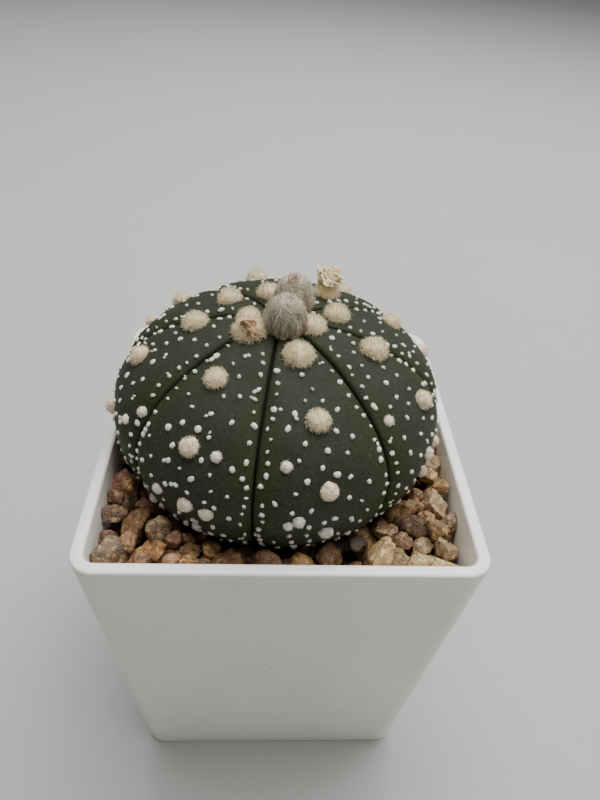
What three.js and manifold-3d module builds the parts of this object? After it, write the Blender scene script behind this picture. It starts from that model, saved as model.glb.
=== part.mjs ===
// Star cactus in a small square pot, top-dressed with crushed granite.
// Millimetres and degrees. +Z is up, the origin is the middle of the pot's underside and the
// front faces -Y. Azimuths run anticlockwise from +X, seen from above. Latitudes run from the
// body's widest ring, 0, to the crown, 90.
import * as THREE from "three";
import { mergeVertices } from "three/addons/utils/BufferGeometryUtils.js";
import Module from "manifold-3d";

const wasm = await Module();
wasm.setup();

// Air between pieces that rest against each other.
const CLEARANCE = 0.3;

// The pot: a tapered tub, all but square, with rounded corners and a plain rounded rim. The
// filled walls bow out a little from front to back.
const POT = {
  topWidth: 70.6,
  topDepth: 71.3,
  baseWidth: 60.3,
  baseDepth: 59.5,
  height: 80,
  wall: 2.3,
  floor: 2.6,
  cornerRadius: 4.5,
  edgeRound: 0.7,
  footWidth: 7,
  footHeight: 1,
  drainRadius: 1.8,
  drainSpacing: 15,
};

// Fill levels inside the pot.
const MIX_TOP = 66;
const GRIT_TOP = 72.4;
const STONE_LIMIT = 77.5;

// The cactus body is a flattened globe: x and y of its axis, the height of its widest ring,
// its radius there, and how far it reaches above and below.
const BODY = { x: -1.14, y: 2.31, middle: 85.9, radius: 32, above: 19.2, below: 23.2 };
const BODY_SQUARENESS = 0.94;
const CROWN_DIP = { depth: 1.2, radius: 5 };

// Azimuths of the eight furrows, from the front one round to the same one again. Each rib
// lies between two of them and is flat on top, with round shoulders.
const FURROWS = [262, 308, 350, 391, 440, 487, 532, 576, 622];
const FURROW = { depth: 1.4, shoulder: 4 };
const BOWL = { margin: 0.5, sides: 36 };
const SKIN_GRID = { perRib: 6, upwards: 17 };

// The taproot is a blunt cone that grows from the underside.
const ROOT = { topRadius: 7, tipRadius: 1.5, top: 66, tip: 34, sides: 16 };

// Woolly areoles, rib by rib from the front right one, anticlockwise. Each is
// [latitude, degrees off the middle of the rib, width of the tuft].
const AREOLES = [
  [[71, 0, 6.2], [45, 0, 4.6], [15, 0, 4], [-9, 0, 3.4], [28, -13, 2.4], [0, -9, 2.9], [-2, -12, 2.4]],
  [[80, 6, 5.4], [58, 11, 5.6], [29, 7, 4.4], [3, 0, 3.2], [0, 9, 3], [-8, 0, 3], [35, -15, 2.4]],
  [[72, 2, 5.2], [45, 8, 4.6], [19, 4, 4.2], [-4, 0, 3.4], [8, 12, 2.4]],
  [[57, 2, 4.8], [43, 0, 4], [17, 2, 4.2], [-6, 4, 3.4], [2, -11, 2.4]],
  [[75, 1.5, 5], [46, -1, 5.2], [20, 0, 4.2], [-5, -2, 3.4], [6, 11, 2.4]],
  [[69, -6, 5], [37, -8, 4.6], [29, 7, 3.4], [8, 0, 4], [-12, 2, 3.2]],
  [[80.5, -11, 4.8], [62, -14, 5.2], [37, -6, 4.6], [5, -3, 4.2], [17, 14, 2.4], [27, 19, 2.4], [-14, -3, 3.2]],
  [[78, -19, 6.8], [56, -5, 4.4], [28, 0, 4.2], [-1, 2, 3.6], [28, 10, 2.4], [-1, -9, 2.9], [-2, 9, 3.1],
    [-17, -16, 2.6], [-16, 4, 2.2]],
];
const TUFT = { heightShare: 0.48, sunk: 0.6, relief: 0.08, smallWidth: 3, locks: 8, smallLocks: 6 };

// Flecks of white wool. They line both sides of each furrow, arch over the areoles and
// scatter over what is left of each rib.
const FLECK = {
  seed: 20417,
  length: 1.15,
  width: 0.85,
  proud: 0.4,
  sunk: 0.35,
  sides: 3,
  gap: 1.55,
  areoleGap: 0.9,
  rowTop: 78,
  rowBottom: -34,
  rowStep: 2.5,
  rowOffset: 1.5,
  archRise: 8,
  archFall: 13,
  archStep: 2.6,
  archHalf: 16,
  scatterTries: 420,
  scatterGap: 2.45,
  lowest: 77.6,
  every: 2,
};

// Woolly flower buds at the crown: the middle of the base, its radius, the bud's length, the
// lean of its axis towards the front, and how its combed wool is ridged and twisted.
const BUDS = {
  front: { x: -0.5, y: 0.25, base: 102.6, radius: 4.2, length: 8.5, lean: 16, ridges: 8, twist: 70 },
  rear: { x: 1.2, y: 7.65, base: 102.4, radius: 3.6, length: 8.2, lean: 12, ridges: 8, twist: -40 },
};
const BUD_GRID = { around: 24, upwards: 8 };
const BUD_RIDGE = 0.08;

// The dried flower behind the crown: a withered tube that opens into crumpled petals.
const DRIED_FLOWER = {
  x: 8, y: 14.65, base: 102.4, tubeRadius: 1.8, tubeLength: 4, petals: 7, petalLength: 3.2, petalWidth: 2.2,
  petalThickness: 0.6, lean: 6,
};

// The brown shrivelled rest of a flower in the woolly tuft at the crown's front left.
const FLOWER_REST = { x: -6.5, y: -2.55, base: 104.4, length: 5, radius: 1.2, lean: 38, turn: 20 };

// Crushed granite: stones on a jittered grid, half sunk in the bed that they lie on.
const STONES = {
  seed: 733,
  spacing: 5.8,
  jitter: 1.8,
  smallest: 2.2,
  largest: 3.3,
  clearOfAxis: 26,
  rise: 1.3,
};

const COLOURS = {
  polypropylene: 0xf1f1ee,
  pottingMix: 0x3b2d22,
  granite: 0xa9835f,
  skin: 0x3f473a,
  budWool: 0xa59e8b,
  paper: 0xdccdaa,
  witheredPetal: 0x9c6a3a,
};

// A generator of numbers from 0 to 1 that gives the same row for the same seed.
function seededRandom(seed) {
  let state = seed;
  return () => {
    state = (state * 1664525 + 1013904223) % 4294967296;
    return state / 4294967296;
  };
}

const radians = THREE.MathUtils.degToRad;
const degrees = THREE.MathUtils.radToDeg;

// Closed mesh to solid.
function toSolid(geometry) {
  const bare = geometry.clone();
  for (const name of Object.keys(bare.attributes)) {
    if (name !== "position") {
      bare.deleteAttribute(name);
    }
  }
  const merged = mergeVertices(bare, 1e-4);
  const mesh = new wasm.Mesh({
    numProp: 3,
    vertProperties: new Float32Array(merged.attributes.position.array),
    triVerts: new Uint32Array(merged.index.array),
  });
  return new wasm.Manifold(mesh);
}

// Solid back to mesh.
function toGeometry(solid) {
  const mesh = solid.getMesh();
  const geometry = new THREE.BufferGeometry();
  geometry.setAttribute("position", new THREE.BufferAttribute(new Float32Array(mesh.vertProperties), 3));
  geometry.setIndex(new THREE.BufferAttribute(new Uint32Array(mesh.triVerts), 1));
  geometry.computeVertexNormals();
  return geometry;
}

function join(solids) {
  return solids.reduce((sum, solid) => sum.add(solid));
}

// The piece itself, without the scraps that a cut leaves or the hollows that joining seals.
function wholeBody(solid) {
  const bodies = solid.decompose();
  return bodies.reduce((best, body) => (body.volume() > best.volume() ? body : best));
}

// A sphere's grid of points, each moved to where pointAt(share around, share upwards) puts it.
function shapedSphere(around, upwards, pointAt) {
  const geometry = new THREE.SphereGeometry(1, around, upwards);
  const { position, uv } = geometry.attributes;
  for (let i = 0; i < position.count; i += 1) {
    const point = pointAt(uv.getX(i) % 1, uv.getY(i));
    position.setXYZ(i, point.x, point.y, point.z);
  }
  return geometry;
}

// ---- Pot ----

function roundedSquare(half, radius) {
  const shape = new THREE.Shape();
  const inner = half - radius;
  shape.absarc(inner, inner, radius, 0, Math.PI / 2, false);
  shape.absarc(-inner, inner, radius, Math.PI / 2, Math.PI, false);
  shape.absarc(-inner, -inner, radius, Math.PI, 1.5 * Math.PI, false);
  shape.absarc(inner, -inner, radius, 1.5 * Math.PI, 2 * Math.PI, false);
  return shape;
}

// A straight block of the given outline between two heights, its edges rounded by edge.
function block(shape, bottom, top, edge = 0) {
  const geometry = new THREE.ExtrudeGeometry(shape, {
    depth: top - bottom - 2 * edge,
    curveSegments: 4,
    bevelEnabled: edge > 0,
    bevelThickness: edge,
    bevelSize: edge,
    bevelOffset: -edge,
    bevelSegments: 2,
  });
  return toSolid(geometry.translate(0, 0, bottom + edge));
}

// The pot's walls lean out evenly, so every level of it is one outline at another scale.
function taper(solid) {
  const geometry = toGeometry(solid);
  const position = geometry.attributes.position;
  for (let i = 0; i < position.count; i += 1) {
    const up = position.getZ(i) / POT.height;
    const width = THREE.MathUtils.lerp(POT.baseWidth, POT.topWidth, up);
    const depth = THREE.MathUtils.lerp(POT.baseDepth, POT.topDepth, up);
    position.setX(i, (position.getX(i) * width) / POT.topWidth);
    position.setY(i, (position.getY(i) * depth) / POT.topWidth);
  }
  return toSolid(geometry);
}

function buildPot() {
  const half = POT.topWidth / 2;
  const wallShape = roundedSquare(half, POT.cornerRadius);
  wallShape.holes.push(roundedSquare(half - POT.wall, POT.cornerRadius - POT.wall));
  const walls = block(wallShape, 0, POT.height, POT.edgeRound);
  const floorShape = roundedSquare(half - POT.wall / 2, POT.cornerRadius - POT.wall / 2);
  const recessShape = roundedSquare(half - POT.footWidth, POT.cornerRadius);
  const floor = block(floorShape, 0, POT.footHeight + POT.floor);
  const recess = block(recessShape, -1, POT.footHeight);
  let pot = taper(walls.add(floor).subtract(recess));
  const drain = new THREE.CylinderGeometry(POT.drainRadius, POT.drainRadius, 12, 10).rotateX(Math.PI / 2);
  const spots = [[0, 0]];
  for (const x of [-POT.drainSpacing, POT.drainSpacing]) {
    for (const y of [-POT.drainSpacing, POT.drainSpacing]) {
      spots.push([x, y]);
    }
  }
  for (const [x, y] of spots) {
    pot = pot.subtract(toSolid(drain.clone().translate(x, y, 0)));
  }
  return pot;
}

// What fills the pot between two heights, clear of its walls.
function filling(bottom, top) {
  const half = POT.topWidth / 2 - POT.wall - (CLEARANCE * POT.topWidth) / POT.baseWidth;
  return taper(block(roundedSquare(half, POT.cornerRadius - POT.wall), bottom, top));
}

// ---- Cactus body ----

// An azimuth's distance from the middle of its rib, 0 there to 1 in the furrow.
function furrowShare(azimuth) {
  const turned = THREE.MathUtils.euclideanModulo(azimuth - FURROWS[0], 360) + FURROWS[0];
  const next = Math.max(FURROWS.findIndex((furrow) => furrow > turned), 1);
  return Math.abs((2 * (turned - FURROWS[next - 1])) / (FURROWS[next] - FURROWS[next - 1]) - 1);
}

function ribMiddle(rib) {
  return (FURROWS[rib] + FURROWS[rib + 1]) / 2;
}

// Radius and height of the globe without its ribs.
function globe(latitude) {
  const cos = Math.max(Math.cos(radians(latitude)), 0);
  const sin = Math.sin(radians(latitude));
  const reach = sin > 0 ? BODY.above : BODY.below;
  const radius = BODY.radius * cos ** BODY_SQUARENESS;
  const dip = sin > 0 ? CROWN_DIP.depth * Math.exp(-((radius / CROWN_DIP.radius) ** 2)) : 0;
  return { radius, z: BODY.middle + reach * Math.sign(sin) * Math.abs(sin) ** BODY_SQUARENESS - dip };
}

// Outward normal of the globe.
function globeNormal(azimuth, latitude) {
  const low = globe(Math.max(latitude - 1, -90));
  const high = globe(Math.min(latitude + 1, 90));
  const slope = new THREE.Vector2(high.z - low.z, low.radius - high.radius).normalize();
  return new THREE.Vector3(
    slope.x * Math.cos(radians(azimuth)),
    slope.x * Math.sin(radians(azimuth)),
    slope.y,
  );
}

// A point of the ribbed skin, or lift above it. Furrows grow shallow where the ribs meet.
function skinPoint(azimuth, latitude, lift = 0) {
  const { radius, z } = globe(latitude);
  const depth = FURROW.depth * Math.min(1, (1.5 * radius) / BODY.radius);
  const out = lift - depth * furrowShare(azimuth) ** FURROW.shoulder;
  const point = new THREE.Vector3(
    BODY.x + radius * Math.cos(radians(azimuth)),
    BODY.y + radius * Math.sin(radians(azimuth)),
    z,
  );
  return point.addScaledVector(globeNormal(azimuth, latitude), out);
}

function skin() {
  const ribs = AREOLES.length;
  const geometry = shapedSphere(ribs * SKIN_GRID.perRib, SKIN_GRID.upwards, (u, v) => {
    const rib = Math.floor(u * ribs + 1e-6);
    const azimuth = THREE.MathUtils.lerp(FURROWS[rib], FURROWS[rib + 1], u * ribs - rib);
    return skinPoint(azimuth, 180 * v - 90);
  });
  return toSolid(geometry);
}

function taproot(grow) {
  const profile = [
    new THREE.Vector2(0, ROOT.tip - grow),
    new THREE.Vector2(ROOT.tipRadius + grow, ROOT.tip - grow),
    new THREE.Vector2(ROOT.topRadius + grow, ROOT.top),
    new THREE.Vector2(0, ROOT.top + 4),
  ];
  const geometry = new THREE.LatheGeometry(profile, ROOT.sides).rotateX(Math.PI / 2);
  return toSolid(geometry.translate(BODY.x, BODY.y, 0));
}

// Every areole's place on the skin.
function areolePlaces() {
  return AREOLES.flatMap((areoles, rib) =>
    areoles.map(([latitude, offMiddle, width]) => {
      const azimuth = ribMiddle(rib) + offMiddle;
      return { azimuth, latitude, width, point: skinPoint(azimuth, latitude) };
    }),
  );
}

// Stands geometry's +Z along the skin's normal at a place, with its middle lift above the skin.
function standOnSkin(geometry, place, lift) {
  const normal = globeNormal(place.azimuth, place.latitude);
  const turn = new THREE.Quaternion().setFromUnitVectors(new THREE.Vector3(0, 0, 1), normal);
  const middle = place.point.clone().addScaledVector(normal, lift);
  return geometry.applyQuaternion(turn).translate(middle.x, middle.y, middle.z);
}

// A tuft of wool: a dome whose wool is drawn into locks, its widest ring sunk in the skin.
function woolTuft(place, grow) {
  const locks = place.width < TUFT.smallWidth ? TUFT.smallLocks : TUFT.locks;
  const radius = place.width / 2 + grow;
  const height = place.width * TUFT.heightShare + TUFT.sunk + grow;
  const geometry = shapedSphere(locks, locks === TUFT.locks ? 4 : 3, (u, v) => {
    const angle = 2 * Math.PI * u;
    const lock = 1 + TUFT.relief * Math.cos((locks / 2) * angle);
    const across = radius * Math.sin(Math.PI * v) * lock;
    const up = -height * Math.cos(Math.PI * v);
    return new THREE.Vector3(across * Math.cos(angle), across * Math.sin(angle), up);
  });
  return toSolid(standOnSkin(geometry, place, -TUFT.sunk));
}

// ---- Flecks ----

// Adds a fleck unless it would crowd another fleck, an areole or a flower.
function addFleck(places, keepOut, candidate, gap) {
  const point = skinPoint(candidate.azimuth, candidate.latitude);
  const crowded = places.some((other) => other.point.distanceTo(point) < gap);
  const covered = keepOut.some((spot) => spot.point.distanceTo(point) < spot.reach);
  if (!crowded && !covered) {
    places.push({ ...candidate, point });
  }
}

function fleckPlaces(keepOut) {
  const random = seededRandom(FLECK.seed);
  const spread = (amount) => (random() - 0.5) * 2 * amount;
  const places = [];
  const add = (azimuth, latitude, gap) => {
    const candidate = { azimuth, latitude, spin: spread(180), size: 1 + spread(0.22) };
    addFleck(places, keepOut, candidate, gap);
  };
  for (let rib = 0; rib < AREOLES.length; rib += 1) {
    const middle = ribMiddle(rib);
    const half = middle - FURROWS[rib];
    for (const side of [-1, 1]) {
      let latitude = FLECK.rowTop - spread(2);
      while (latitude > FLECK.rowBottom) {
        const offset = FLECK.rowOffset + spread(0.45);
        const aside = Math.min(degrees(offset / globe(latitude).radius), 0.7 * half);
        add(middle + side * (half - aside), latitude, FLECK.gap);
        latitude -= degrees((FLECK.rowStep + spread(0.8)) / BODY.radius);
      }
    }
    for (const [areoleLatitude, offMiddle, width] of AREOLES[rib]) {
      if (width > TUFT.smallWidth && areoleLatitude < 70) {
        const step = degrees(FLECK.archStep / globe(areoleLatitude).radius);
        for (let across = -FLECK.archHalf; across <= FLECK.archHalf; across += step) {
          const fall = FLECK.archFall * (across / FLECK.archHalf) ** 2;
          const latitude = areoleLatitude + FLECK.archRise - fall + spread(1.3);
          add(middle + 0.5 * offMiddle + across + spread(1), latitude, FLECK.gap);
        }
      }
    }
    for (let i = 0; i < FLECK.scatterTries; i += 1) {
      const latitude = degrees(Math.asin(THREE.MathUtils.lerp(-0.55, 0.97, random())));
      add(middle + spread(half - 3), latitude, FLECK.scatterGap);
    }
  }
  return places;
}

function fleckSolid(place) {
  const height = FLECK.proud + FLECK.sunk;
  const reach = (place.size * height) / FLECK.proud / 2;
  const geometry = new THREE.ConeGeometry(1, height, FLECK.sides).rotateX(Math.PI / 2);
  geometry.scale(reach * FLECK.length, reach * FLECK.width, 1).rotateZ(radians(place.spin));
  return toSolid(standOnSkin(geometry, place, height / 2 - FLECK.sunk));
}

// ---- Flowers ----

// A woolly bud: rounded below, drawn in to a blunt tip, with twisted ridges of combed wool.
function budSolid(bud, grow) {
  const geometry = shapedSphere(BUD_GRID.around, BUD_GRID.upwards, (u, v) => {
    const wrap = Math.sin(Math.PI * v);
    const height = (0.5 - 0.5 * Math.cos(Math.PI * v)) * bud.length;
    const swell = 1.05 - 0.3 * v ** 2;
    const ridge = 1 + BUD_RIDGE * Math.cos(radians(bud.ridges * 360 * u + 4 * bud.twist * v));
    const radius = wrap ** 0.7 * (bud.radius * swell * ridge + grow);
    const angle = 2 * Math.PI * u;
    return new THREE.Vector3(radius * Math.cos(angle), radius * Math.sin(angle), height + grow * (2 * v - 1));
  });
  geometry.rotateX(radians(bud.lean)).translate(bud.x, bud.y, bud.base);
  return toSolid(geometry);
}

// One crumpled petal: a thin blade that bows outwards and curls at its end.
function petalSolid(index) {
  const half = DRIED_FLOWER.petalWidth / 2;
  const length = DRIED_FLOWER.petalLength;
  const depth = DRIED_FLOWER.petalThickness;
  const outline = new THREE.Shape();
  outline.moveTo(-0.45 * half, 0);
  outline.lineTo(0.45 * half, 0);
  outline.lineTo(half, 0.55 * length);
  outline.lineTo(0.5 * half, length);
  outline.lineTo(-0.1 * half, 0.86 * length);
  outline.lineTo(-0.7 * half, 0.97 * length);
  outline.lineTo(-half, 0.5 * length);
  const geometry = new THREE.ExtrudeGeometry(outline, { depth, bevelEnabled: false });
  const position = geometry.attributes.position;
  for (let i = 0; i < position.count; i += 1) {
    const up = position.getY(i) / length;
    const bow = 1.1 * up ** 2 + 0.35 * Math.sin(3 * position.getX(i) + index);
    position.setXYZ(i, position.getX(i), -bow - position.getZ(i), position.getY(i));
  }
  const lean = 8 + 16 * (index % 3);
  geometry.rotateX(radians(lean)).translate(0, -0.35 * DRIED_FLOWER.tubeRadius, -1);
  geometry.rotateZ((2 * Math.PI * index) / DRIED_FLOWER.petals);
  return toSolid(geometry.translate(0, 0, DRIED_FLOWER.tubeLength));
}

function driedFlower(grow, petals) {
  const { tubeRadius, tubeLength } = DRIED_FLOWER;
  const profile = [
    new THREE.Vector2(0, -grow),
    new THREE.Vector2(1.15 * tubeRadius + grow, -grow),
    new THREE.Vector2(0.8 * tubeRadius + grow, 0.5 * tubeLength),
    new THREE.Vector2(0.95 * tubeRadius + grow, tubeLength + grow),
    new THREE.Vector2(0, tubeLength + grow),
  ];
  const tube = toSolid(new THREE.LatheGeometry(profile, 10).rotateX(Math.PI / 2));
  const geometry = toGeometry(join([tube, ...petals]));
  geometry.rotateX(radians(DRIED_FLOWER.lean));
  return toSolid(geometry.translate(DRIED_FLOWER.x, DRIED_FLOWER.y, DRIED_FLOWER.base));
}

// A shrivelled, pointed twist, lying back against the front bud.
function flowerRest(grow) {
  const geometry = shapedSphere(8, 6, (u, v) => {
    const angle = 2 * Math.PI * u;
    const pinch = Math.sin(Math.PI * v) ** 0.8 * (1.25 - 0.8 * v);
    const crease = 1 + 0.16 * Math.cos(3 * angle + 4 * v);
    const radius = pinch * FLOWER_REST.radius * crease + grow * Math.sin(Math.PI * v);
    const height = v * FLOWER_REST.length + grow * (2 * v - 1);
    return new THREE.Vector3(1.3 * radius * Math.cos(angle), 0.75 * radius * Math.sin(angle), height);
  });
  geometry.rotateX(radians(FLOWER_REST.lean)).rotateZ(radians(FLOWER_REST.turn));
  return toSolid(geometry.translate(FLOWER_REST.x, FLOWER_REST.y, FLOWER_REST.base));
}

// ---- Granite ----

// An angular stone: a coarse ball with its corners pushed in and out.
function stoneSolid(random, x, y, radius) {
  const geometry = new THREE.IcosahedronGeometry(1, 0);
  const bare = geometry.clone();
  bare.deleteAttribute("normal");
  bare.deleteAttribute("uv");
  const stone = mergeVertices(bare, 1e-4);
  const position = stone.attributes.position;
  for (let i = 0; i < position.count; i += 1) {
    const share = 0.85 + 0.3 * random();
    position.setXYZ(i, position.getX(i) * share, position.getY(i) * share, position.getZ(i) * share);
  }
  stone.scale(radius * (0.95 + 0.35 * random()), radius, radius * (0.75 + 0.25 * random()));
  stone.rotateX(0.9 * random()).rotateY(0.9 * random()).rotateZ(2 * Math.PI * random());
  return toSolid(stone.translate(x, y, GRIT_TOP + STONES.rise * random()));
}

function buildGrit(hollow) {
  const random = seededRandom(STONES.seed);
  const solids = [filling(MIX_TOP + CLEARANCE, GRIT_TOP)];
  const half = POT.topWidth / 2 - POT.wall;
  const rows = Math.round((2 * half) / STONES.spacing);
  for (let row = 0; row < rows; row += 1) {
    for (let column = 0; column < rows; column += 1) {
      const x = -half + (2 * half * (column + 0.5)) / rows + STONES.jitter * (random() - 0.5);
      const y = -half + (2 * half * (row + 0.5)) / rows + STONES.jitter * (random() - 0.5);
      const radius = THREE.MathUtils.lerp(STONES.smallest, STONES.largest, random());
      if (Math.hypot(x - BODY.x, y - BODY.y) > STONES.clearOfAxis) {
        solids.push(stoneSolid(random, x, y, radius));
      }
    }
  }
  const space = filling(MIX_TOP + CLEARANCE, STONE_LIMIT);
  return join(solids).intersect(space).subtract(hollow);
}

// ---- Assembly ----

const areoles = areolePlaces();
const lowAreoles = areoles.filter((place) => place.point.z < STONE_LIMIT + place.width);
const flowerSockets = join([
  ...Object.values(BUDS).map((bud) => budSolid(bud, CLEARANCE)),
  driedFlower(CLEARANCE, []),
  flowerRest(CLEARANCE),
]);
const keepOut = [
  ...areoles.map(({ point, width }) => ({ point, reach: width / 2 + FLECK.areoleGap })),
  ...Object.values(BUDS).map(({ x, y, base, radius }) => ({
    point: new THREE.Vector3(x, y, base),
    reach: radius + FLECK.areoleGap,
  })),
];
const flecks = fleckPlaces(keepOut).filter(
  ({ point }, index) => point.z > FLECK.lowest && index % FLECK.every === 0,
);

function buildCactus() {
  const grown = [skin(), taproot(0)];
  grown.push(...areoles.map((place) => woolTuft(place, 0)));
  grown.push(...flecks.map((place) => fleckSolid(place)));
  return join(grown).subtract(flowerSockets);
}

// The smooth bowl in the bed and the mix that the plant's lower half stands in.
function bowl() {
  const profile = [];
  for (let latitude = -90; latitude <= 0; latitude += 9) {
    const { radius, z } = globe(latitude);
    const wider = latitude === -90 ? 0 : radius + BOWL.margin;
    profile.push(new THREE.Vector2(wider, z - (BOWL.margin * Math.abs(latitude)) / 90));
  }
  profile.push(new THREE.Vector2(0, BODY.middle));
  const geometry = new THREE.LatheGeometry(profile, BOWL.sides).rotateX(Math.PI / 2);
  return toSolid(geometry.translate(BODY.x, BODY.y, 0));
}

const hollow = join([
  bowl(),
  taproot(CLEARANCE),
  ...lowAreoles.map((place) => woolTuft(place, CLEARANCE)),
]);

const group = new THREE.Group();

function addPiece(name, solid, color, roughness) {
  const material = new THREE.MeshStandardMaterial({ color, roughness, metalness: 0 });
  const mesh = new THREE.Mesh(toGeometry(wholeBody(solid)), material);
  mesh.name = name;
  group.add(mesh);
}

const frontBud = budSolid(BUDS.front, 0);
const rearBud = budSolid(BUDS.rear, 0).subtract(budSolid(BUDS.front, CLEARANCE));
const rest = flowerRest(0).subtract(budSolid(BUDS.front, CLEARANCE));
const mix = filling(POT.footHeight + POT.floor + CLEARANCE, MIX_TOP).subtract(hollow);
const petals = Array.from({ length: DRIED_FLOWER.petals }, (_, index) => petalSolid(index));

addPiece("pot", buildPot(), COLOURS.polypropylene, 0.35);
addPiece("potting_mix", mix, COLOURS.pottingMix, 0.95);
addPiece("grit_top_dressing", buildGrit(hollow), COLOURS.granite, 0.85);
addPiece("cactus_body", buildCactus(), COLOURS.skin, 0.6);
addPiece("flower_bud_front", frontBud, COLOURS.budWool, 0.95);
addPiece("flower_bud_rear", rearBud, COLOURS.budWool, 0.95);
addPiece("dried_flower_back", driedFlower(0, petals), COLOURS.paper, 0.9);
addPiece("dried_flower_front", rest, COLOURS.witheredPetal, 0.85);

export default group;
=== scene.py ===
"""A potted star cactus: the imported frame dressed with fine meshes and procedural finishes.

Lengths are in millimetres and angles in degrees until a piece is finished, and each finished
piece is in metres, in the frame of the CAD. Azimuths run anticlockwise from +X, seen from
above, and latitudes from the body's widest ring, 0, to the crown, 90. The front faces -Y.
"""
import logging
import math
from collections.abc import Iterator, Sequence
from dataclasses import dataclass, field
from enum import Enum

import bmesh
import bpy
from mathutils import Matrix, Quaternion, Vector, noise


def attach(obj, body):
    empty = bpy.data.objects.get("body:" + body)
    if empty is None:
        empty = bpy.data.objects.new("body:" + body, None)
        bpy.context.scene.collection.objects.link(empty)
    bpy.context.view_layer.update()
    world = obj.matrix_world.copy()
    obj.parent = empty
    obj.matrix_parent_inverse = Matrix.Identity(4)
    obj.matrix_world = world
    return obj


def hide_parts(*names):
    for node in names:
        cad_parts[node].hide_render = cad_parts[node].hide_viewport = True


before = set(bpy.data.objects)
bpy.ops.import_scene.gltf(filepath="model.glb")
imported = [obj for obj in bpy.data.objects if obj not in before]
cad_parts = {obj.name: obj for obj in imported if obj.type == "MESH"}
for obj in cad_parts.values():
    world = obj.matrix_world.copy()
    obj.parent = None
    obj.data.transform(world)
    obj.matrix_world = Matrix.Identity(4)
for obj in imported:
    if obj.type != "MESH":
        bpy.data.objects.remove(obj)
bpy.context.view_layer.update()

log = logging.getLogger("potted_star_cactus")

MM = 0.001
BODY = "root"
UP = Vector((0, 0, 1))
NOISE_SEED = 12

BMesh = bmesh.types.BMesh
BMVert = bmesh.types.BMVert
BMEdge = bmesh.types.BMEdge
Tree = bpy.types.NodeTree
Socket = bpy.types.NodeSocket
Range = tuple[float, float]
Colour = str | Socket


class Slot(Enum):
    """The record's material slots, one passed with each finer piece."""

    POLYPROPYLENE = "white_polypropylene"
    GRANITE = "granite_grit"
    SKIN = "cactus_skin"
    WOOL = "bud_wool"
    DRIED = "dried_petal"
    WITHERED = "withered_petal"


class Node(Enum):
    """The CAD nodes that finer pieces stand for, and the mix, which only gets its finish."""

    POT = "pot"
    MIX = "potting_mix"
    GRIT = "grit_top_dressing"
    PLANT = "cactus_body"
    FRONT_BUD = "flower_bud_front"
    REAR_BUD = "flower_bud_rear"
    DRIED_FLOWER = "dried_flower_back"
    FLOWER_REST = "dried_flower_front"


# ---- Small tools ----


class Draw:
    """A seeded row of random numbers, the same row as the CAD source draws from."""

    FACTOR = 1664525
    STEP = 1013904223
    COUNT = 2**32

    def __init__(self, seed: int) -> None:
        """Start the row at a seed."""
        self.state = seed

    def share(self) -> float:
        """Return a number from 0 to 1."""
        self.state = (self.state * self.FACTOR + self.STEP) % self.COUNT
        return self.state / self.COUNT

    def spread(self, amount: float) -> float:
        """Return a number from -amount to +amount."""
        return (self.share() - 0.5) * 2 * amount

    def between(self, low: float, high: float) -> float:
        """Return a number from low to high."""
        return low + (high - low) * self.share()

    def direction(self) -> Vector:
        """Draw a direction.

        Returns:
            A unit vector that points anywhere.
        """
        z = self.spread(1)
        turn = self.between(0, math.tau)
        flat = math.sqrt(1 - z * z)
        return Vector((flat * math.cos(turn), flat * math.sin(turn), z))


def lerp(low: float, high: float, share: float) -> float:
    """Return the number that lies share of the way from low to high."""
    return low + (high - low) * share


def smooth(low: float, high: float, value: float) -> float:
    """Return a ramp eased from 0 at low to 1 at high, which may be the lower of the two."""
    share = min(max((value - low) / (high - low), 0.0), 1.0)
    return share * share * (3 - 2 * share)


def linear(colour: str) -> tuple[float, float, float, float]:
    """Turn an sRGB hex colour into linear red, green, blue and alpha.

    Args:
        colour: Six hex digits.

    Returns:
        The linear colour with an alpha of 1.
    """
    shares = [int(colour[i : i + 2], 16) / 255 for i in (0, 2, 4)]
    red, green, blue = (
        s / 12.92 if s <= 0.04045 else ((s + 0.055) / 1.055) ** 2.4 for s in shares
    )
    return (red, green, blue, 1.0)


def per_metre(size: float) -> float:
    """Return the texture scale whose features are size millimetres across."""
    return 1 / (size * MM)


def stand(normal: Vector, at: Vector, spin: float = 0.0) -> Matrix:
    """Return the placing that turns +Z along a normal, after a spin about it, and moves it there.

    Args:
        normal: The way that +Z ends up.
        at: Where the origin ends up.
        spin: Turn about +Z before that, in degrees.

    Returns:
        The placing.
    """
    turn = UP.rotation_difference(normal).to_matrix().to_4x4()
    return Matrix.Translation(at) @ turn @ Matrix.Rotation(math.radians(spin), 4, "Z")


def finish_piece(
    bm: BMesh,
    name: str,
    material: bpy.types.Material,
    slot: Slot,
    node: Node,
    shade_smooth: bool = True,
) -> bpy.types.Object:
    """Turn a mesh in millimetres into a piece that rides on the body and stands for a CAD node.

    Args:
        bm: The mesh, which is freed.
        name: The piece's name.
        material: Its finish.
        slot: The record's slot that the finish belongs to; not used.
        node: The CAD node that the piece stands for.
        shade_smooth: Whether its faces are shaded as one surface.

    Returns:
        The finished object.
    """
    bmesh.ops.scale(bm, vec=(MM, MM, MM), verts=bm.verts)
    for face in bm.faces:
        face.smooth = shade_smooth
    mesh = bpy.data.meshes.new(name)
    bm.to_mesh(mesh)
    bm.free()
    mesh.materials.append(material)
    piece = bpy.data.objects.new(name, mesh)
    bpy.context.scene.collection.objects.link(piece)
    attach(piece, BODY)
    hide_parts(node.value)
    log.info("%s: %d faces", name, len(mesh.polygons))
    return piece


def add_shape(bm: BMesh, shape: BMesh) -> None:
    """Add a small shape to a large mesh and free it, far quicker than making it there.

    Args:
        bm: The large mesh.
        shape: The small one, with the same layers.
    """
    mesh = bpy.data.meshes.new("shape")
    shape.to_mesh(mesh)
    shape.free()
    bm.from_mesh(mesh)
    bpy.data.meshes.remove(mesh)


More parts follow.
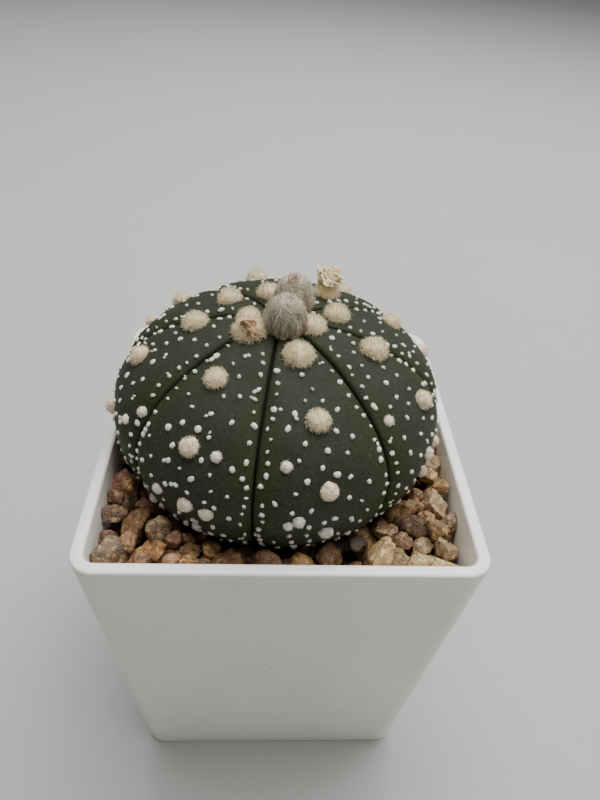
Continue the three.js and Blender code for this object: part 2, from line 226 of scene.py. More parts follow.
def wool_mesh() -> BMesh:
    """Make an empty mesh for plant wool.

    Returns:
        The mesh, with the layers along and tone, which its finish colours it by.
    """
    bm = bmesh.new()
    bm.verts.layers.float.new("along")
    bm.verts.layers.float.new("tone")
    return bm


def roughen(verts: Sequence[BMVert], size: float, amount: float) -> None:
    """Push points about by a smooth noise.

    Args:
        verts: The points.
        size: The noise's feature size.
        amount: The farthest that a point moves.
    """
    for vert in verts:
        vert.co += noise.noise_vector(vert.co / size) * amount


class Hairs:
    """Collects hairs and makes them thin tapered tubes in one mesh."""

    TAPER = 0.8

    def __init__(self) -> None:
        """Start without hairs."""
        self.curve = bpy.data.curves.new("hairs", "CURVE")
        self.curve.dimensions = "3D"
        self.curve.bevel_depth = 1.0
        self.curve.bevel_resolution = 0
        self.curve.use_fill_caps = True
        self.tones: list[tuple[int, float]] = []

    def add(self, points: Sequence[Vector], radius: float, tone: float) -> None:
        """Add a hair.

        Args:
            points: Its line, root first.
            radius: Its radius at the root.
            tone: A number from 0 to 1 that its finish colours it by.
        """
        count = len(points)
        spline = self.curve.splines.new("POLY")
        spline.points.add(count - 1)
        spline.points.foreach_set("co", [c for p in points for c in (p.x, p.y, p.z, 1.0)])
        taper = [radius * (1 - self.TAPER * i / (count - 1)) for i in range(count)]
        spline.points.foreach_set("radius", taper)
        self.tones.append((count, tone))

    def join(self, bm: BMesh) -> None:
        """Add the tubes to a mesh and write each hair's tone and each ring's place along it.

        Args:
            bm: The mesh, which gets the attributes tone and along.
        """
        holder = bpy.data.objects.new("hairs", self.curve)
        mesh = bpy.data.meshes.new_from_object(holder)
        first = len(bm.verts)
        bm.from_mesh(mesh)
        bm.verts.ensure_lookup_table()
        tone_layer, along_layer = bm.verts.layers.float["tone"], bm.verts.layers.float["along"]
        sides = (len(bm.verts) - first) // max(sum(count for count, _ in self.tones), 1)
        index = first
        for count, tone in self.tones:
            for ring in range(count):
                for _ in range(sides):
                    bm.verts[index][tone_layer] = tone
                    bm.verts[index][along_layer] = ring / (count - 1)
                    index += 1
        bpy.data.objects.remove(holder)
        bpy.data.curves.remove(self.curve)
        bpy.data.meshes.remove(mesh)


# ---- Finishes ----


def add_node(
    tree: Tree, kind: str, inputs: dict | None = None, **settings: object
) -> bpy.types.Node:
    """Add a shader node.

    Args:
        tree: The material's node tree.
        kind: The node's type without its ShaderNode prefix.
        inputs: What goes into its sockets, by name or number: a value, or a socket to link.
        settings: The node's own properties.

    Returns:
        The new node.
    """
    made = tree.nodes.new("ShaderNode" + kind)
    for name, value in settings.items():
        setattr(made, name, value)
    for key, value in (inputs or {}).items():
        if isinstance(value, Socket):
            tree.links.new(value, made.inputs[key])
        else:
            made.inputs[key].default_value = value
    return made


def stretch(value: Socket, span: Range, to: Range = (0.0, 1.0)) -> dict[str, object]:
    """Return the inputs that take a span of a value to another one, held at its ends."""
    ends = {"Value": value, "From Min": span[0], "From Max": span[1]}
    return ends | {"To Min": to[0], "To Max": to[1]}


def lay(
    tree: Tree, value: Socket, span: Range, base: Colour, colour: Colour, cover: Range = (0.0, 1.0)
) -> Socket:
    """Lay a colour over another where a value passes through a span.

    Args:
        tree: The material's node tree.
        value: The value that decides how much of the colour shows.
        span: The value at which the colour starts to show, and at which it shows most.
        base: The colour under it, as hex digits or a socket.
        colour: The colour laid over it, as hex digits or a socket.
        cover: How much of it shows at the two ends of the span.

    Returns:
        The colour of both.
    """
    share = add_node(tree, "MapRange", stretch(value, span, cover)).outputs["Result"]
    under, over = (linear(c) if isinstance(c, str) else c for c in (base, colour))
    return add_node(tree, "Mix", {0: share, 6: under, 7: over}, data_type="RGBA").outputs[2]


@dataclass(frozen=True, kw_only=True)
class Grain:
    """A noise in a surface, with features size millimetres across and finer ones in them."""

    size: float
    detail: float = 2.0
    rough: float = 0.6

    def inputs(self, at: Socket) -> dict[str, object]:
        """Return what goes into a noise texture of this grain."""
        grain = {"Scale": per_metre(self.size), "Detail": self.detail, "Roughness": self.rough}
        return {"Vector": at} | grain


@dataclass(frozen=True, kw_only=True)
class Patches(Grain):
    """Noisy patches of a colour: they start at one level of the noise and are full at another."""

    start: float
    full: float
    cover: float = 1.0

    def over(self, tree: Tree, at: Socket, base: Colour, colour: str) -> Socket:
        """Lay a colour over another in these patches.

        Args:
            tree: The material's node tree.
            at: The place on the piece, in metres.
            base: The colour under the patches, as hex digits or a socket.
            colour: The patches' colour.

        Returns:
            The colour of both.
        """
        level = add_node(tree, "TexNoise", self.inputs(at)).outputs["Fac"]
        return lay(tree, level, (self.start, self.full), base, colour, (0.0, self.cover))


@dataclass(frozen=True, kw_only=True)
class Relief(Grain):
    """A noisy unevenness, depth millimetres deep, that shows in the shading alone."""

    depth: float
    strength: float

    def over(self, tree: Tree, at: Socket, under: Socket | None = None) -> Socket:
        """Add this unevenness to a normal.

        Args:
            tree: The material's node tree.
            at: The place on the piece, in metres.
            under: The normal that it is added to, or None for the mesh's own.

        Returns:
            The uneven normal.
        """
        height = add_node(tree, "TexNoise", self.inputs(at)).outputs["Fac"]
        bump = {"Height": height, "Distance": self.depth * MM, "Strength": self.strength}
        if under is not None:
            bump["Normal"] = under
        return add_node(tree, "Bump", bump).outputs["Normal"]


@dataclass(frozen=True)
class Finish:
    """What every finish shares: a name, and nodes that end in one surface shader."""

    name: str

    def build(self) -> bpy.types.Material:
        """Make the material.

        Returns:
            The material, named after the finish.
        """
        material = bpy.data.materials.new(self.name)
        material.use_nodes = True
        tree = material.node_tree
        tree.nodes.clear()
        coordinates = add_node(tree, "TexCoord").outputs["Object"]
        shader = self.surface(tree, coordinates)
        add_node(tree, "OutputMaterial", {"Surface": shader.outputs[0]})
        return material

    def surface(self, tree: Tree, at: Socket) -> bpy.types.Node:
        """Make the surface shader.

        Args:
            tree: The material's node tree.
            at: The place on the piece, in metres.

        Returns:
            The shader node.
        """
        raise NotImplementedError


@dataclass(frozen=True)
class MouldedPolypropylene(Finish):
    """Injection-moulded polypropylene: white and satin, a little translucent, with the faint
    texture of its mould, dull patches from handling and a few specks of soil."""

    colour: str = "f5f3ec"
    shade: str = "efece4"
    soil: str = "57493a"
    ior: float = 1.49
    shading: Patches = Patches(size=22.0, start=0.35, full=0.7)
    speck_spacing: float = 7.0
    speck_edge: Range = (0.28, 0.16)
    speck_rarity: Range = (0.8, 0.82)
    speck_cover: float = 0.75
    handling: Grain = Grain(size=6.0, detail=4.0)
    handled: Range = (0.4, 0.75)
    roughness: Range = (0.3, 0.46)
    # The mould's texture is finer than this on the real pot, and is drawn coarser to show.
    mould: Relief = Relief(size=0.45, depth=0.02, strength=0.35)
    waves: Relief = Relief(size=14.0, detail=0.0, depth=0.12, strength=0.3)
    translucence: float = 0.12
    light_reach: float = 1.5

    def surface(self, tree: Tree, at: Socket) -> bpy.types.Node:
        """Make the shader: a dielectric that lets a little light into it.

        Args:
            tree: The material's node tree.
            at: The place on the pot, in metres.

        Returns:
            The shader node.
        """
        colour = self.shading.over(tree, at, self.colour, self.shade)
        specks = add_node(tree, "TexVoronoi", {"Vector": at, "Scale": per_metre(self.speck_spacing)})
        away = {0: specks.outputs["Distance"], 1: self.speck_spacing}
        distance = add_node(tree, "Math", away, operation="MULTIPLY").outputs[0]
        pick = add_node(tree, "SeparateColor", {"Color": specks.outputs["Color"]}).outputs["Red"]
        speck = add_node(tree, "MapRange", stretch(distance, self.speck_edge)).outputs["Result"]
        few = add_node(tree, "MapRange", stretch(pick, self.speck_rarity)).outputs["Result"]
        dirt = add_node(tree, "Math", {0: speck, 1: few}, operation="MULTIPLY").outputs[0]
        dirt = add_node(tree, "Math", {0: dirt, 1: self.speck_cover}, operation="MULTIPLY").outputs[0]
        soiled = {0: dirt, 6: colour, 7: linear(self.soil)}
        colour = add_node(tree, "Mix", soiled, data_type="RGBA").outputs[2]
        worn = add_node(tree, "TexNoise", self.handling.inputs(at)).outputs["Fac"]
        dull = add_node(tree, "MapRange", stretch(worn, self.handled, self.roughness)).outputs["Result"]
        mould = self.mould.over(tree, at)
        return add_node(tree, "BsdfPrincipled", {
            "Base Color": colour, "Roughness": dull, "IOR": self.ior,
            "Normal": self.waves.over(tree, at, mould), "Subsurface Weight": self.translucence,
            "Subsurface Radius": (1.0, 1.0, 0.9), "Subsurface Scale": self.light_reach * MM,
        })


@dataclass(frozen=True)
class PottingMix(Finish):
    """Peat and fine bark, packed, and the dark fines under the grit: dull, with crumbs of about
    a millimetre."""

    peat: str = "2f241b"
    bark: str = "5a4330"
    crumb_size: float = 1.4
    crumb_depth: float = 0.9
    crumb_strength: float = 0.8
    bark_bits: Patches = Patches(size=1.1, detail=4.0, start=0.45, full=0.7)
    roughness: float = 0.95
    specular: float = 0.2

    def surface(self, tree: Tree, at: Socket) -> bpy.types.Node:
        """Make the shader: rough and all but without gloss.

        Args:
            tree: The material's node tree.
            at: The place in the mix, in metres.

        Returns:
            The shader node.
        """
        crumbs = add_node(tree, "TexVoronoi", {"Vector": at, "Scale": per_metre(self.crumb_size)})
        colour = self.bark_bits.over(tree, at, self.peat, self.bark)
        normal = add_node(tree, "Bump", {
            "Height": crumbs.outputs["Distance"], "Distance": self.crumb_depth * MM,
            "Strength": self.crumb_strength,
        }).outputs["Normal"]
        return add_node(tree, "BsdfPrincipled", {
            "Base Color": colour, "Roughness": self.roughness, "Specular IOR Level": self.specular,
            "Normal": normal,
        })


@dataclass(frozen=True)
class CrushedGranite(Finish):
    """Crushed granite, tumbled dull: each chip is mostly one mineral stained by iron, so its
    colour changes from chip to chip, with crystals of about a millimetre and dark mica."""

    chips: tuple[str, ...] = (
        "b87c60", "a07e5c", "c49570", "8a745c", "b57e48", "c3975d", "dab984", "c6aa80",
    )
    feldspar: str = "e0ba86"
    rust: str = "a06a38"
    gap: str = "4a3826"
    mica: str = "2b2520"
    ior: float = 1.54
    pattern_shift: float = 0.5
    chip_step: float = 0.01
    crystal_size: float = 0.8
    bend: float = 1.1
    bending: Grain = Grain(size=0.7, detail=3.0, rough=0.5)
    feldspar_crystals: Range = (0.55, 0.7)
    feldspar_cover: float = 0.6
    rust_stains: Patches = Patches(size=2.2, detail=5.0, start=0.5, full=0.7, cover=0.65)
    seam_width: float = 0.09
    seam_cover: float = 0.4
    flakes: Patches = Patches(size=0.5, start=0.62, full=0.66, cover=0.85)
    chip_brightness: Range = (0.3, 0.96)
    crystal_brightness: Range = (0.6, 1.4)
    grain: Relief = Relief(size=0.45, detail=4.0, depth=0.3, strength=1.0)
    seam_depth: float = 0.25
    seam_strength: float = 0.6
    roughness: Range = (0.32, 0.8)

    def surface(self, tree: Tree, at: Socket) -> bpy.types.Node:
        """Make the shader: a dielectric stone, rough with slight glints.

        Args:
            tree: The material's node tree.
            at: The place on the chips, in metres, which also has the attribute chip: three
                numbers from 0 to 1 that pick a chip's colour, its brightness and its gloss.

        Returns:
            The shader node.
        """
        whole = (0.0, 1.0)
        chip = add_node(tree, "Attribute", attribute_name="chip").outputs["Vector"]
        kind, tone, gloss = add_node(tree, "SeparateXYZ", {"Vector": chip}).outputs
        shift = {0: chip, "Scale": self.pattern_shift}
        offset = add_node(tree, "VectorMath", shift, operation="SCALE").outputs[0]
        at = add_node(tree, "VectorMath", {0: at, 1: offset}, operation="ADD").outputs[0]
        colour: Colour = self.chips[0]
        for step, other in enumerate(self.chips[1:], start=1):
            edge = step / len(self.chips)
            colour = lay(tree, kind, (edge - self.chip_step, edge + self.chip_step), colour, other)
        bend = add_node(tree, "TexNoise", self.bending.inputs(at)).outputs["Color"]
        bent = {0: bend, 1: (self.bend * MM,) * 3, 2: at}
        bent_at = add_node(tree, "VectorMath", bent, operation="MULTIPLY_ADD").outputs[0]
        crystals = {"Vector": bent_at, "Scale": per_metre(self.crystal_size), "Randomness": 1.0}
        cells = add_node(tree, "TexVoronoi", crystals)
        pick = add_node(tree, "SeparateColor", {"Color": cells.outputs["Color"]}).outputs
        colour = lay(
            tree, pick[0], self.feldspar_crystals, colour, self.feldspar, (0.0, self.feldspar_cover)
        )
        colour = self.rust_stains.over(tree, at, colour, self.rust)
        seam = add_node(tree, "TexVoronoi", crystals, feature="DISTANCE_TO_EDGE").outputs["Distance"]
        colour = lay(tree, seam, (0.0, self.seam_width), colour, self.gap, (self.seam_cover, 0.0))
        colour = self.flakes.over(tree, at, colour, self.mica)
        bright = add_node(tree, "MapRange", stretch(tone, whole, self.chip_brightness)).outputs[0]
        spread = add_node(tree, "MapRange", stretch(pick[1], whole, self.crystal_brightness)).outputs[0]
        bright = add_node(tree, "Math", {0: bright, 1: spread}, operation="MULTIPLY").outputs[0]
        shade = add_node(tree, "CombineXYZ", {0: bright, 1: bright, 2: bright}).outputs[0]
        shaded = {0: 1.0, 6: colour, 7: shade}
        colour = add_node(tree, "Mix", shaded, data_type="RGBA", blend_type="MULTIPLY").outputs[2]
        normal = add_node(tree, "Bump", {
            "Normal": self.grain.over(tree, at), "Height": seam, "Distance": self.seam_depth * MM,
            "Strength": self.seam_strength,
        }).outputs["Normal"]
        rough = add_node(tree, "MapRange", stretch(gloss, whole, self.roughness)).outputs["Result"]
        return add_node(tree, "BsdfPrincipled", {
            "Base Color": colour, "Roughness": rough, "IOR": self.ior, "Normal": normal,
        })


@dataclass(frozen=True)
class PlantCuticle(Finish):
    """A star cactus's cuticle: waxy, dark green and nearly matt, greyer where its wax is thick
    along the ribs and greener in the furrows, with fine streaks that run down the ribs."""

    waxy: str = "43473b"
    green: str = "3c4826"
    shade: str = "202415"
    bloom: str = "4d5142"
    # Painted shade: the near-black laid along each furrow's narrow line, where shade falls in the groove.
    crease: str = "0e120a"
    dust: str = "9a9c8c"
    ior: float = 1.45
    specular: float = 0.22
    blotches: Grain = Grain(size=5.0, detail=3.0)
    wobble: float = 0.5
    greening: Range = (0.3, 0.95)
    streak_stretch: float = 5.0
    streaks: Patches = Patches(size=0.7, detail=4.0, start=0.5, full=0.78, cover=0.5)
    mottling: Patches = Patches(size=0.5, detail=4.0, start=0.4, full=0.66, cover=0.5)
    dusting: Patches = Patches(size=0.4, start=0.66, full=0.74, cover=0.5)
    # The skin darkens towards the crown, from the first height to the second.
    crown_dark_from: float = 84.0
    crown_dark_full: float = 103.0
    crown_dark_cover: float = 0.72
    crease_shade_edge: Range = (0.25, 0.8)
    crease_shade_cover: float = 0.95
    # The skin's cells are a few hundredths of a millimetre wide, and are drawn coarser to show.
    cells: Relief = Relief(size=0.22, depth=0.03, strength=0.6)
    swell: Relief = Relief(size=1.7, depth=0.12, strength=0.4)
    wax_levels: Range = (0.3, 0.7)
    roughness: Range = (0.64, 0.78)

    def surface(self, tree: Tree, at: Socket) -> bpy.types.Node:
        """Make the shader: a wax, nearly matt.

        Args:
            tree: The material's node tree.
            at: The place on the skin, in metres, which also has the attributes furrow, 1 in the
            nearest furrow and 0 at the rib's middle, and crease, 1 on the furrow's line, painted dark as
            shade.

        Returns:
            The shader node.
        """
        furrow = add_node(tree, "Attribute", attribute_name="furrow").outputs["Fac"]
        crease = add_node(tree, "Attribute", attribute_name="crease").outputs["Fac"]
        blotch = add_node(tree, "TexNoise", self.blotches.inputs(at)).outputs["Fac"]
        centred = {0: blotch, 1: self.wobble, 2: -self.wobble / 2}
        wobble = add_node(tree, "Math", centred, operation="MULTIPLY_ADD").outputs[0]
        edge = add_node(tree, "Math", {0: furrow, 1: wobble}, operation="ADD").outputs[0]
        colour = lay(tree, edge, self.greening, self.waxy, self.green)
        drawn_out = {"Vector": at, "Scale": (1.0, 1.0, 1 / self.streak_stretch)}
        tall = add_node(tree, "Mapping", drawn_out).outputs[0]
        colour = self.streaks.over(tree, tall, colour, self.bloom)
        colour = self.mottling.over(tree, at, colour, self.shade)
        colour = self.dusting.over(tree, at, colour, self.dust)
        # Darker towards the crown.
        height = add_node(tree, "SeparateXYZ", {"Vector": at}).outputs["Z"]
        young = (self.crown_dark_from * MM, self.crown_dark_full * MM)
        colour = lay(tree, height, young, colour, self.shade, (0.0, self.crown_dark_cover))
        # Painted shade along the furrow's line, darkest in its middle.
        colour = lay(tree, crease, self.crease_shade_edge, colour, self.crease, (0.0, self.crease_shade_cover))
        cells = self.cells.over(tree, at)
        normal = self.swell.over(tree, at, cells)
        rough = add_node(tree, "MapRange", stretch(blotch, self.wax_levels, self.roughness)).outputs[0]
        return add_node(tree, "BsdfPrincipled", {
            "Base Color": colour, "Roughness": rough, "IOR": self.ior,
            "Specular IOR Level": self.specular, "Normal": normal,
        })


@dataclass(frozen=True)
class PlantWool(Finish):
    """Plant wool: short felted hairs that scatter light softly, so it is matt and pale, warm
    where it is young at the crown and bleached lower down."""

    young: str = "fff6cc"
    grown: str = "fff0d2"
    old: str = "faf5ea"
    heart: str = "eec488"
    root: str = "bb965f"
    shaded: float = 0.27
    old_height: float = 80.0
    grown_height: float = 93.0
    young_height: float = 104.0
    heart_cover: Range = (0.2, 0.85)
    heart_reach: float = 0.6
    # The real fibres are a few hundredths of a millimetre thick, and are drawn coarser to show.
    fibres: Grain = Grain(size=0.2, detail=3.0)
    fibre_gaps: Range = (0.5, 0.8)
    fibre_cover: float = 0.25
    fibre_depth: float = 0.12
    fibre_strength: float = 0.8
    roughness: float = 0.95
    specular: float = 0.15
    sheen: float = 0.7
    sheen_roughness: float = 0.6

    def surface(self, tree: Tree, at: Socket) -> bpy.types.Node:
        """Make the shader: cellulose hairs, each too thin to show a glint.

        Args:
            tree: The material's node tree.
            at: The place in metres, which also has the attributes tone, the hair's own shade
                from 0 to 1, and along, 0 at a root and 1 at a tip.

        Returns:
            The shader node.
        """
        along = add_node(tree, "Attribute", attribute_name="along").outputs["Fac"]
        tone = add_node(tree, "Attribute", attribute_name="tone").outputs["Fac"]
        height = add_node(tree, "SeparateXYZ", {"Vector": at}).outputs["Z"]
        low, middle, high = (z * MM for z in (self.old_height, self.grown_height, self.young_height))
        pale = lay(tree, height, (low, middle), self.old, self.grown)
        pale = lay(tree, height, (middle, high), pale, self.young)
        deep = lay(tree, height, (low, middle), pale, self.heart, self.heart_cover)
        colour = lay(tree, along, (0.0, self.heart_reach), deep, pale)
        colour = lay(tree, tone, (0.0, 1.0), colour, self.root, (self.shaded, 0.0))
        fibres = add_node(tree, "TexNoise", self.fibres.inputs(at)).outputs["Fac"]
        colour = lay(tree, fibres, self.fibre_gaps, colour, self.root, (0.0, self.fibre_cover))
        normal = add_node(tree, "Bump", {
            "Height": fibres, "Distance": self.fibre_depth * MM, "Strength": self.fibre_strength,
        }).outputs["Normal"]
        return add_node(tree, "BsdfPrincipled", {
            "Base Color": colour, "Roughness": self.roughness, "Specular IOR Level": self.specular,
            "Sheen Weight": self.sheen, "Sheen Roughness": self.sheen_roughness, "Normal": normal,
        })


@dataclass(frozen=True)
class DriedTissue(Finish):
    """A petal dried to paper: thin, matt and veined, stained along its creases."""

    paper: str = "e2d3b1"
    vein: str = "b08c58"
    stain: str = "8d6233"
    stained: float = 0.5
    ior: float = 1.5
    roughness: float = 0.8
    vein_squash: float = 0.3
    veins: Patches = Patches(size=0.4, detail=3.0, start=0.5, full=0.7, cover=0.6)
    stains: Grain = Grain(size=1.5, detail=3.0)
    stain_edge: Range = (0.45, 0.7)
    creases: Relief = Relief(size=0.35, detail=3.0, depth=0.1, strength=0.7)
    translucence: float = 0.2
    light_reach: float = 0.8

    def surface(self, tree: Tree, at: Socket) -> bpy.types.Node:
        """Make the shader: thin dry cellulose that lets some light through.

        Args:
            tree: The material's node tree.
            at: The place on the petals, in metres.

        Returns:
            The shader node.
        """
        drawn_out = {"Vector": at, "Scale": (1.0, 1.0, self.vein_squash)}
        tall = add_node(tree, "Mapping", drawn_out).outputs[0]
        colour = self.veins.over(tree, tall, self.paper, self.vein)
        blotch = add_node(tree, "TexNoise", self.stains.inputs(at)).outputs["Fac"]
        colour = lay(tree, blotch, self.stain_edge, colour, self.stain, (0.0, self.stained))
        return add_node(tree, "BsdfPrincipled", {
            "Base Color": colour, "Roughness": self.roughness, "IOR": self.ior,
            "Normal": self.creases.over(tree, tall), "Subsurface Weight": self.translucence,
            "Subsurface Radius": (1.0, 0.7, 0.4), "Subsurface Scale": self.light_reach * MM,
        })


@dataclass(frozen=True)
class PaintedBoard(Finish):
    """The floor: a pale grey painted board, matt and even."""

    colour: str = "b4b7b2"
    shade: str = "adb0ab"
    cloud: Patches = Patches(size=60.0, detail=3.0, start=0.3, full=0.7, cover=0.25)
    roughness: float = 0.75
    specular: float = 0.2

    def surface(self, tree: Tree, at: Socket) -> bpy.types.Node:
        """Make the shader: matt paint with a slight unevenness.

        Args:
            tree: The material's node tree.
            at: The place on the floor, in metres.

        Returns:
            The shader node.
        """
        colour = self.cloud.over(tree, at, self.colour, self.shade)
        return add_node(tree, "BsdfPrincipled", {
            "Base Color": colour, "Roughness": self.roughness, "Specular IOR Level": self.specular,
        })


# ---- Pot ----


@dataclass
class Pot:
    """A tapered tub, all but square, with rounded corners, a plain rim and five drain holes."""

    top_width: float = 70.6
    top_depth: float = 71.3
    base_width: float = 60.3
    base_depth: float = 59.5
    height: float = 80.0
    wall: float = 2.3
    floor: float = 2.6
    corner: float = 4.5
    edge: float = 0.55
    foot_width: float = 7.0
    foot_height: float = 1.0
    foot_rings: tuple[float, ...] = (6.5, 3.0)
    least_corner: float = 0.3
    drain_radius: float = 1.8
    drain_spacing: float = 15.0
    drains: tuple[tuple[int, int], ...] = ((0, 0), (-1, -1), (-1, 1), (1, -1), (1, 1))
    corner_points: int = 12
    hole_points: int = 20
    edge_steps: int = 5
    outer_rings: int = 12
    inner_rings: int = 8
    finish: Finish = field(default_factory=lambda: MouldedPolypropylene("moulded_polypropylene"))

    def shares(self, z: float) -> tuple[float, float]:
        """Measure the pot at a height.

        Args:
            z: The height.

        Returns:
            Its width and its depth there, as shares of its top's width.
        """
        up = z / self.height
        width = lerp(self.base_width, self.top_width, up)
        depth = lerp(self.base_depth, self.top_depth, up)
        return width / self.top_width, depth / self.top_width

    def half_inside(self, z: float) -> tuple[float, float]:
        """Measure the pot inside.

        Args:
            z: The height.

        Returns:
            Half its inner width and half its inner depth there.
        """
        half = self.top_width / 2 - self.wall
        wide, deep = self.shares(z)
        return half * wide, half * deep

    def outline(self, index: int, inset: float, z: float) -> Vector:
        """Return a point of the pot's rounded outline.

        Args:
            index: Which point, anticlockwise.
            inset: How far the outline lies inside the pot's outer one.
            z: Its height.

        Returns:
            The point.
        """
        quarter, step = divmod(index, self.corner_points)
        turn = math.radians(90 * quarter + 90 * step / (self.corner_points - 1))
        radius = max(self.corner - inset, self.least_corner)
        reach = self.top_width / 2 - inset - radius
        side_x = 1 if quarter in (0, 3) else -1
        side_y = 1 if quarter in (0, 1) else -1
        x = side_x * reach + radius * math.cos(turn)
        y = side_y * reach + radius * math.sin(turn)
        wide, deep = self.shares(z)
        return Vector((x * wide, y * deep, z))

    def profile(self) -> list[tuple[float, float]]:
        """Work out the wall's section.

        Returns:
            Its inset and its height, level by level, from under the foot to inside.
        """
        edge, wall, top = self.edge, self.wall, self.height
        levels = [(self.foot_width, self.foot_height), (self.foot_width, self.foot_height / 2)]
        levels += [(inset, 0.0) for inset in (self.foot_width, *self.foot_rings)]
        turns = [math.radians(90 * i / self.edge_steps) for i in range(self.edge_steps + 1)]
        levels += [(edge - edge * math.sin(t), edge - edge * math.cos(t)) for t in turns]
        outer = range(1, self.outer_rings + 1)
        levels += [(0.0, lerp(edge, top - edge, i / self.outer_rings)) for i in outer]
        levels += [(edge - edge * math.cos(t), top - edge + edge * math.sin(t)) for t in turns[1:]]
        levels += [(wall - edge + edge * math.sin(t), top - edge + edge * math.cos(t)) for t in turns]
        inside = self.foot_height + self.floor
        inner = range(1, self.inner_rings + 1)
        levels += [(wall, lerp(top - edge, inside, i / self.inner_rings)) for i in inner]
        return levels

    def build(self) -> None:
        """Make the pot."""
        bm = bmesh.new()
        turn = bm.verts.layers.int.new("turn")
        levels = self.profile()
        ring = bmesh.ops.create_circle(bm, segments=4 * self.corner_points, radius=1.0)["verts"]
        for index, vert in enumerate(ring):
            vert[turn] = index
            vert.co = self.outline(index, *levels[0])
        under = list(bm.edges)
        edges = under
        for inset, z in levels[1:]:
            grown = bmesh.ops.extrude_edge_only(bm, edges=edges)["geom"]
            verts = {g for g in grown if isinstance(g, BMVert)}
            edges = [g for g in grown if isinstance(g, BMEdge) and verts.issuperset(g.verts)]
            for vert in verts:
                vert.co = self.outline(vert[turn], inset, z)
        self.floors(bm, under, edges)
        bmesh.ops.recalc_face_normals(bm, faces=bm.faces)
        finish_piece(bm, "pot_shell", self.finish.build(), Slot.POLYPROPYLENE, Node.POT)

    def floors(
        self, bm: BMesh, under: list[BMEdge], inside: list[BMEdge]
    ) -> None:
        """Close the floor between the underside's ring and the inner ring, around the holes.

        Args:
            bm: The pot's mesh.
            under: The edges of the underside's ring.
            inside: The edges of the ring where the inner wall meets the floor.
        """
        lows, highs = list(under), list(inside)
        for x, y in self.drains:
            pair = []
            for z, edges in ((self.foot_height, lows), (self.foot_height + self.floor, highs)):
                at = Matrix.Translation((x * self.drain_spacing, y * self.drain_spacing, z))
                made = bmesh.ops.create_circle(
                    bm, segments=self.hole_points, radius=self.drain_radius, matrix=at
                )["verts"]
                hole = list(dict.fromkeys(edge for vert in made for edge in vert.link_edges))
                edges += hole
                pair += hole
            bmesh.ops.bridge_loops(bm, edges=pair)
        bmesh.ops.triangle_fill(bm, edges=lows, use_beauty=True)
        bmesh.ops.triangle_fill(bm, edges=highs, use_beauty=True)


# ---- The plant's shape ----


@dataclass(frozen=True)
class Spot:
    """A place on the skin: its point and its outward normal."""

    point: Vector
    normal: Vector


@dataclass(frozen=True)
class StarGlobe:
    """The plant's shape: a flattened globe with eight ribs between narrow furrows."""

    x: float = -1.14
    y: float = 2.31
    middle: float = 85.9
    radius: float = 32.0
    above: float = 19.2
    below: float = 23.2
    squareness: float = 0.94
    dip: float = 1.2
    dip_radius: float = 5.0
    furrow_depth: float = 1.1
    furrow_fade: float = 1.5
    shoulder: float = 5.5
    furrows: tuple[float, ...] = (262, 308, 350, 391, 440, 487, 532, 576, 622)

    @property
    def ribs(self) -> int:
        """Return how many ribs there are."""
        return len(self.furrows) - 1

    def rib_middle(self, rib: int) -> float:
        """Return the azimuth of a rib's middle."""
        return (self.furrows[rib] + self.furrows[rib + 1]) / 2

    def furrow_share(self, azimuth: float) -> float:
        """Measure how near an azimuth is to a furrow.

        Args:
            azimuth: The azimuth.

        Returns:
            0 on the middle of its rib and 1 in the furrow.
        """
        turned = (azimuth - self.furrows[0]) % 360 + self.furrows[0]
        beyond = next((i for i, furrow in enumerate(self.furrows) if furrow > turned), 1)
        near, far = self.furrows[beyond - 1], self.furrows[beyond]
        return abs(2 * (turned - near) / (far - near) - 1)

    def ring(self, latitude: float) -> tuple[float, float]:
        """Work out the globe's ring at a latitude, as if it had no furrows.

        Args:
            latitude: The latitude.

        Returns:
            The ring's radius and its height.
        """
        turn = math.radians(latitude)
        cos, sin = max(math.cos(turn), 0.0), math.sin(turn)
        reach = self.above if sin > 0 else self.below
        radius = self.radius * cos**self.squareness
        dip = self.dip * math.exp(-((radius / self.dip_radius) ** 2)) if sin > 0 else 0.0
        return radius, self.middle + math.copysign(reach * abs(sin) ** self.squareness, sin) - dip

    def radius_at(self, z: float) -> float:
        """Return the globe's radius at a height under its widest ring."""
        sin = min(max((self.middle - z) / self.below, 0.0), 1.0) ** (1 / self.squareness)
        return self.radius * math.sqrt(1 - sin * sin) ** self.squareness

    def normal(self, azimuth: float, latitude: float) -> Vector:
        """Work out which way the globe faces, as if it had no furrows.

        Args:
            azimuth: The place's azimuth.
            latitude: Its latitude.

        Returns:
            The outward normal.
        """
        low, low_z = self.ring(max(latitude - 1, -90))
        high, high_z = self.ring(min(latitude + 1, 90))
        slope = Vector((high_z - low_z, low - high)).normalized()
        turn = math.radians(azimuth)
        return Vector((slope.x * math.cos(turn), slope.x * math.sin(turn), slope.y))

    def spot(self, azimuth: float, latitude: float, lift: float = 0.0) -> Spot:
        """Find a place on the ribbed skin, or above it.

        Args:
            azimuth: The place's azimuth.
            latitude: Its latitude.
            lift: How far above the skin it is.

        Returns:
            The place.
        """
        radius, z = self.ring(latitude)
        depth = self.furrow_depth * min(1, self.furrow_fade * radius / self.radius)
        out = lift - depth * self.furrow_share(azimuth) ** self.shoulder
        turn = math.radians(azimuth)
        normal = self.normal(azimuth, latitude)
        point = Vector((self.x + radius * math.cos(turn), self.y + radius * math.sin(turn), z))
        return Spot(point + normal * out, normal)


# ---- Cactus body ----

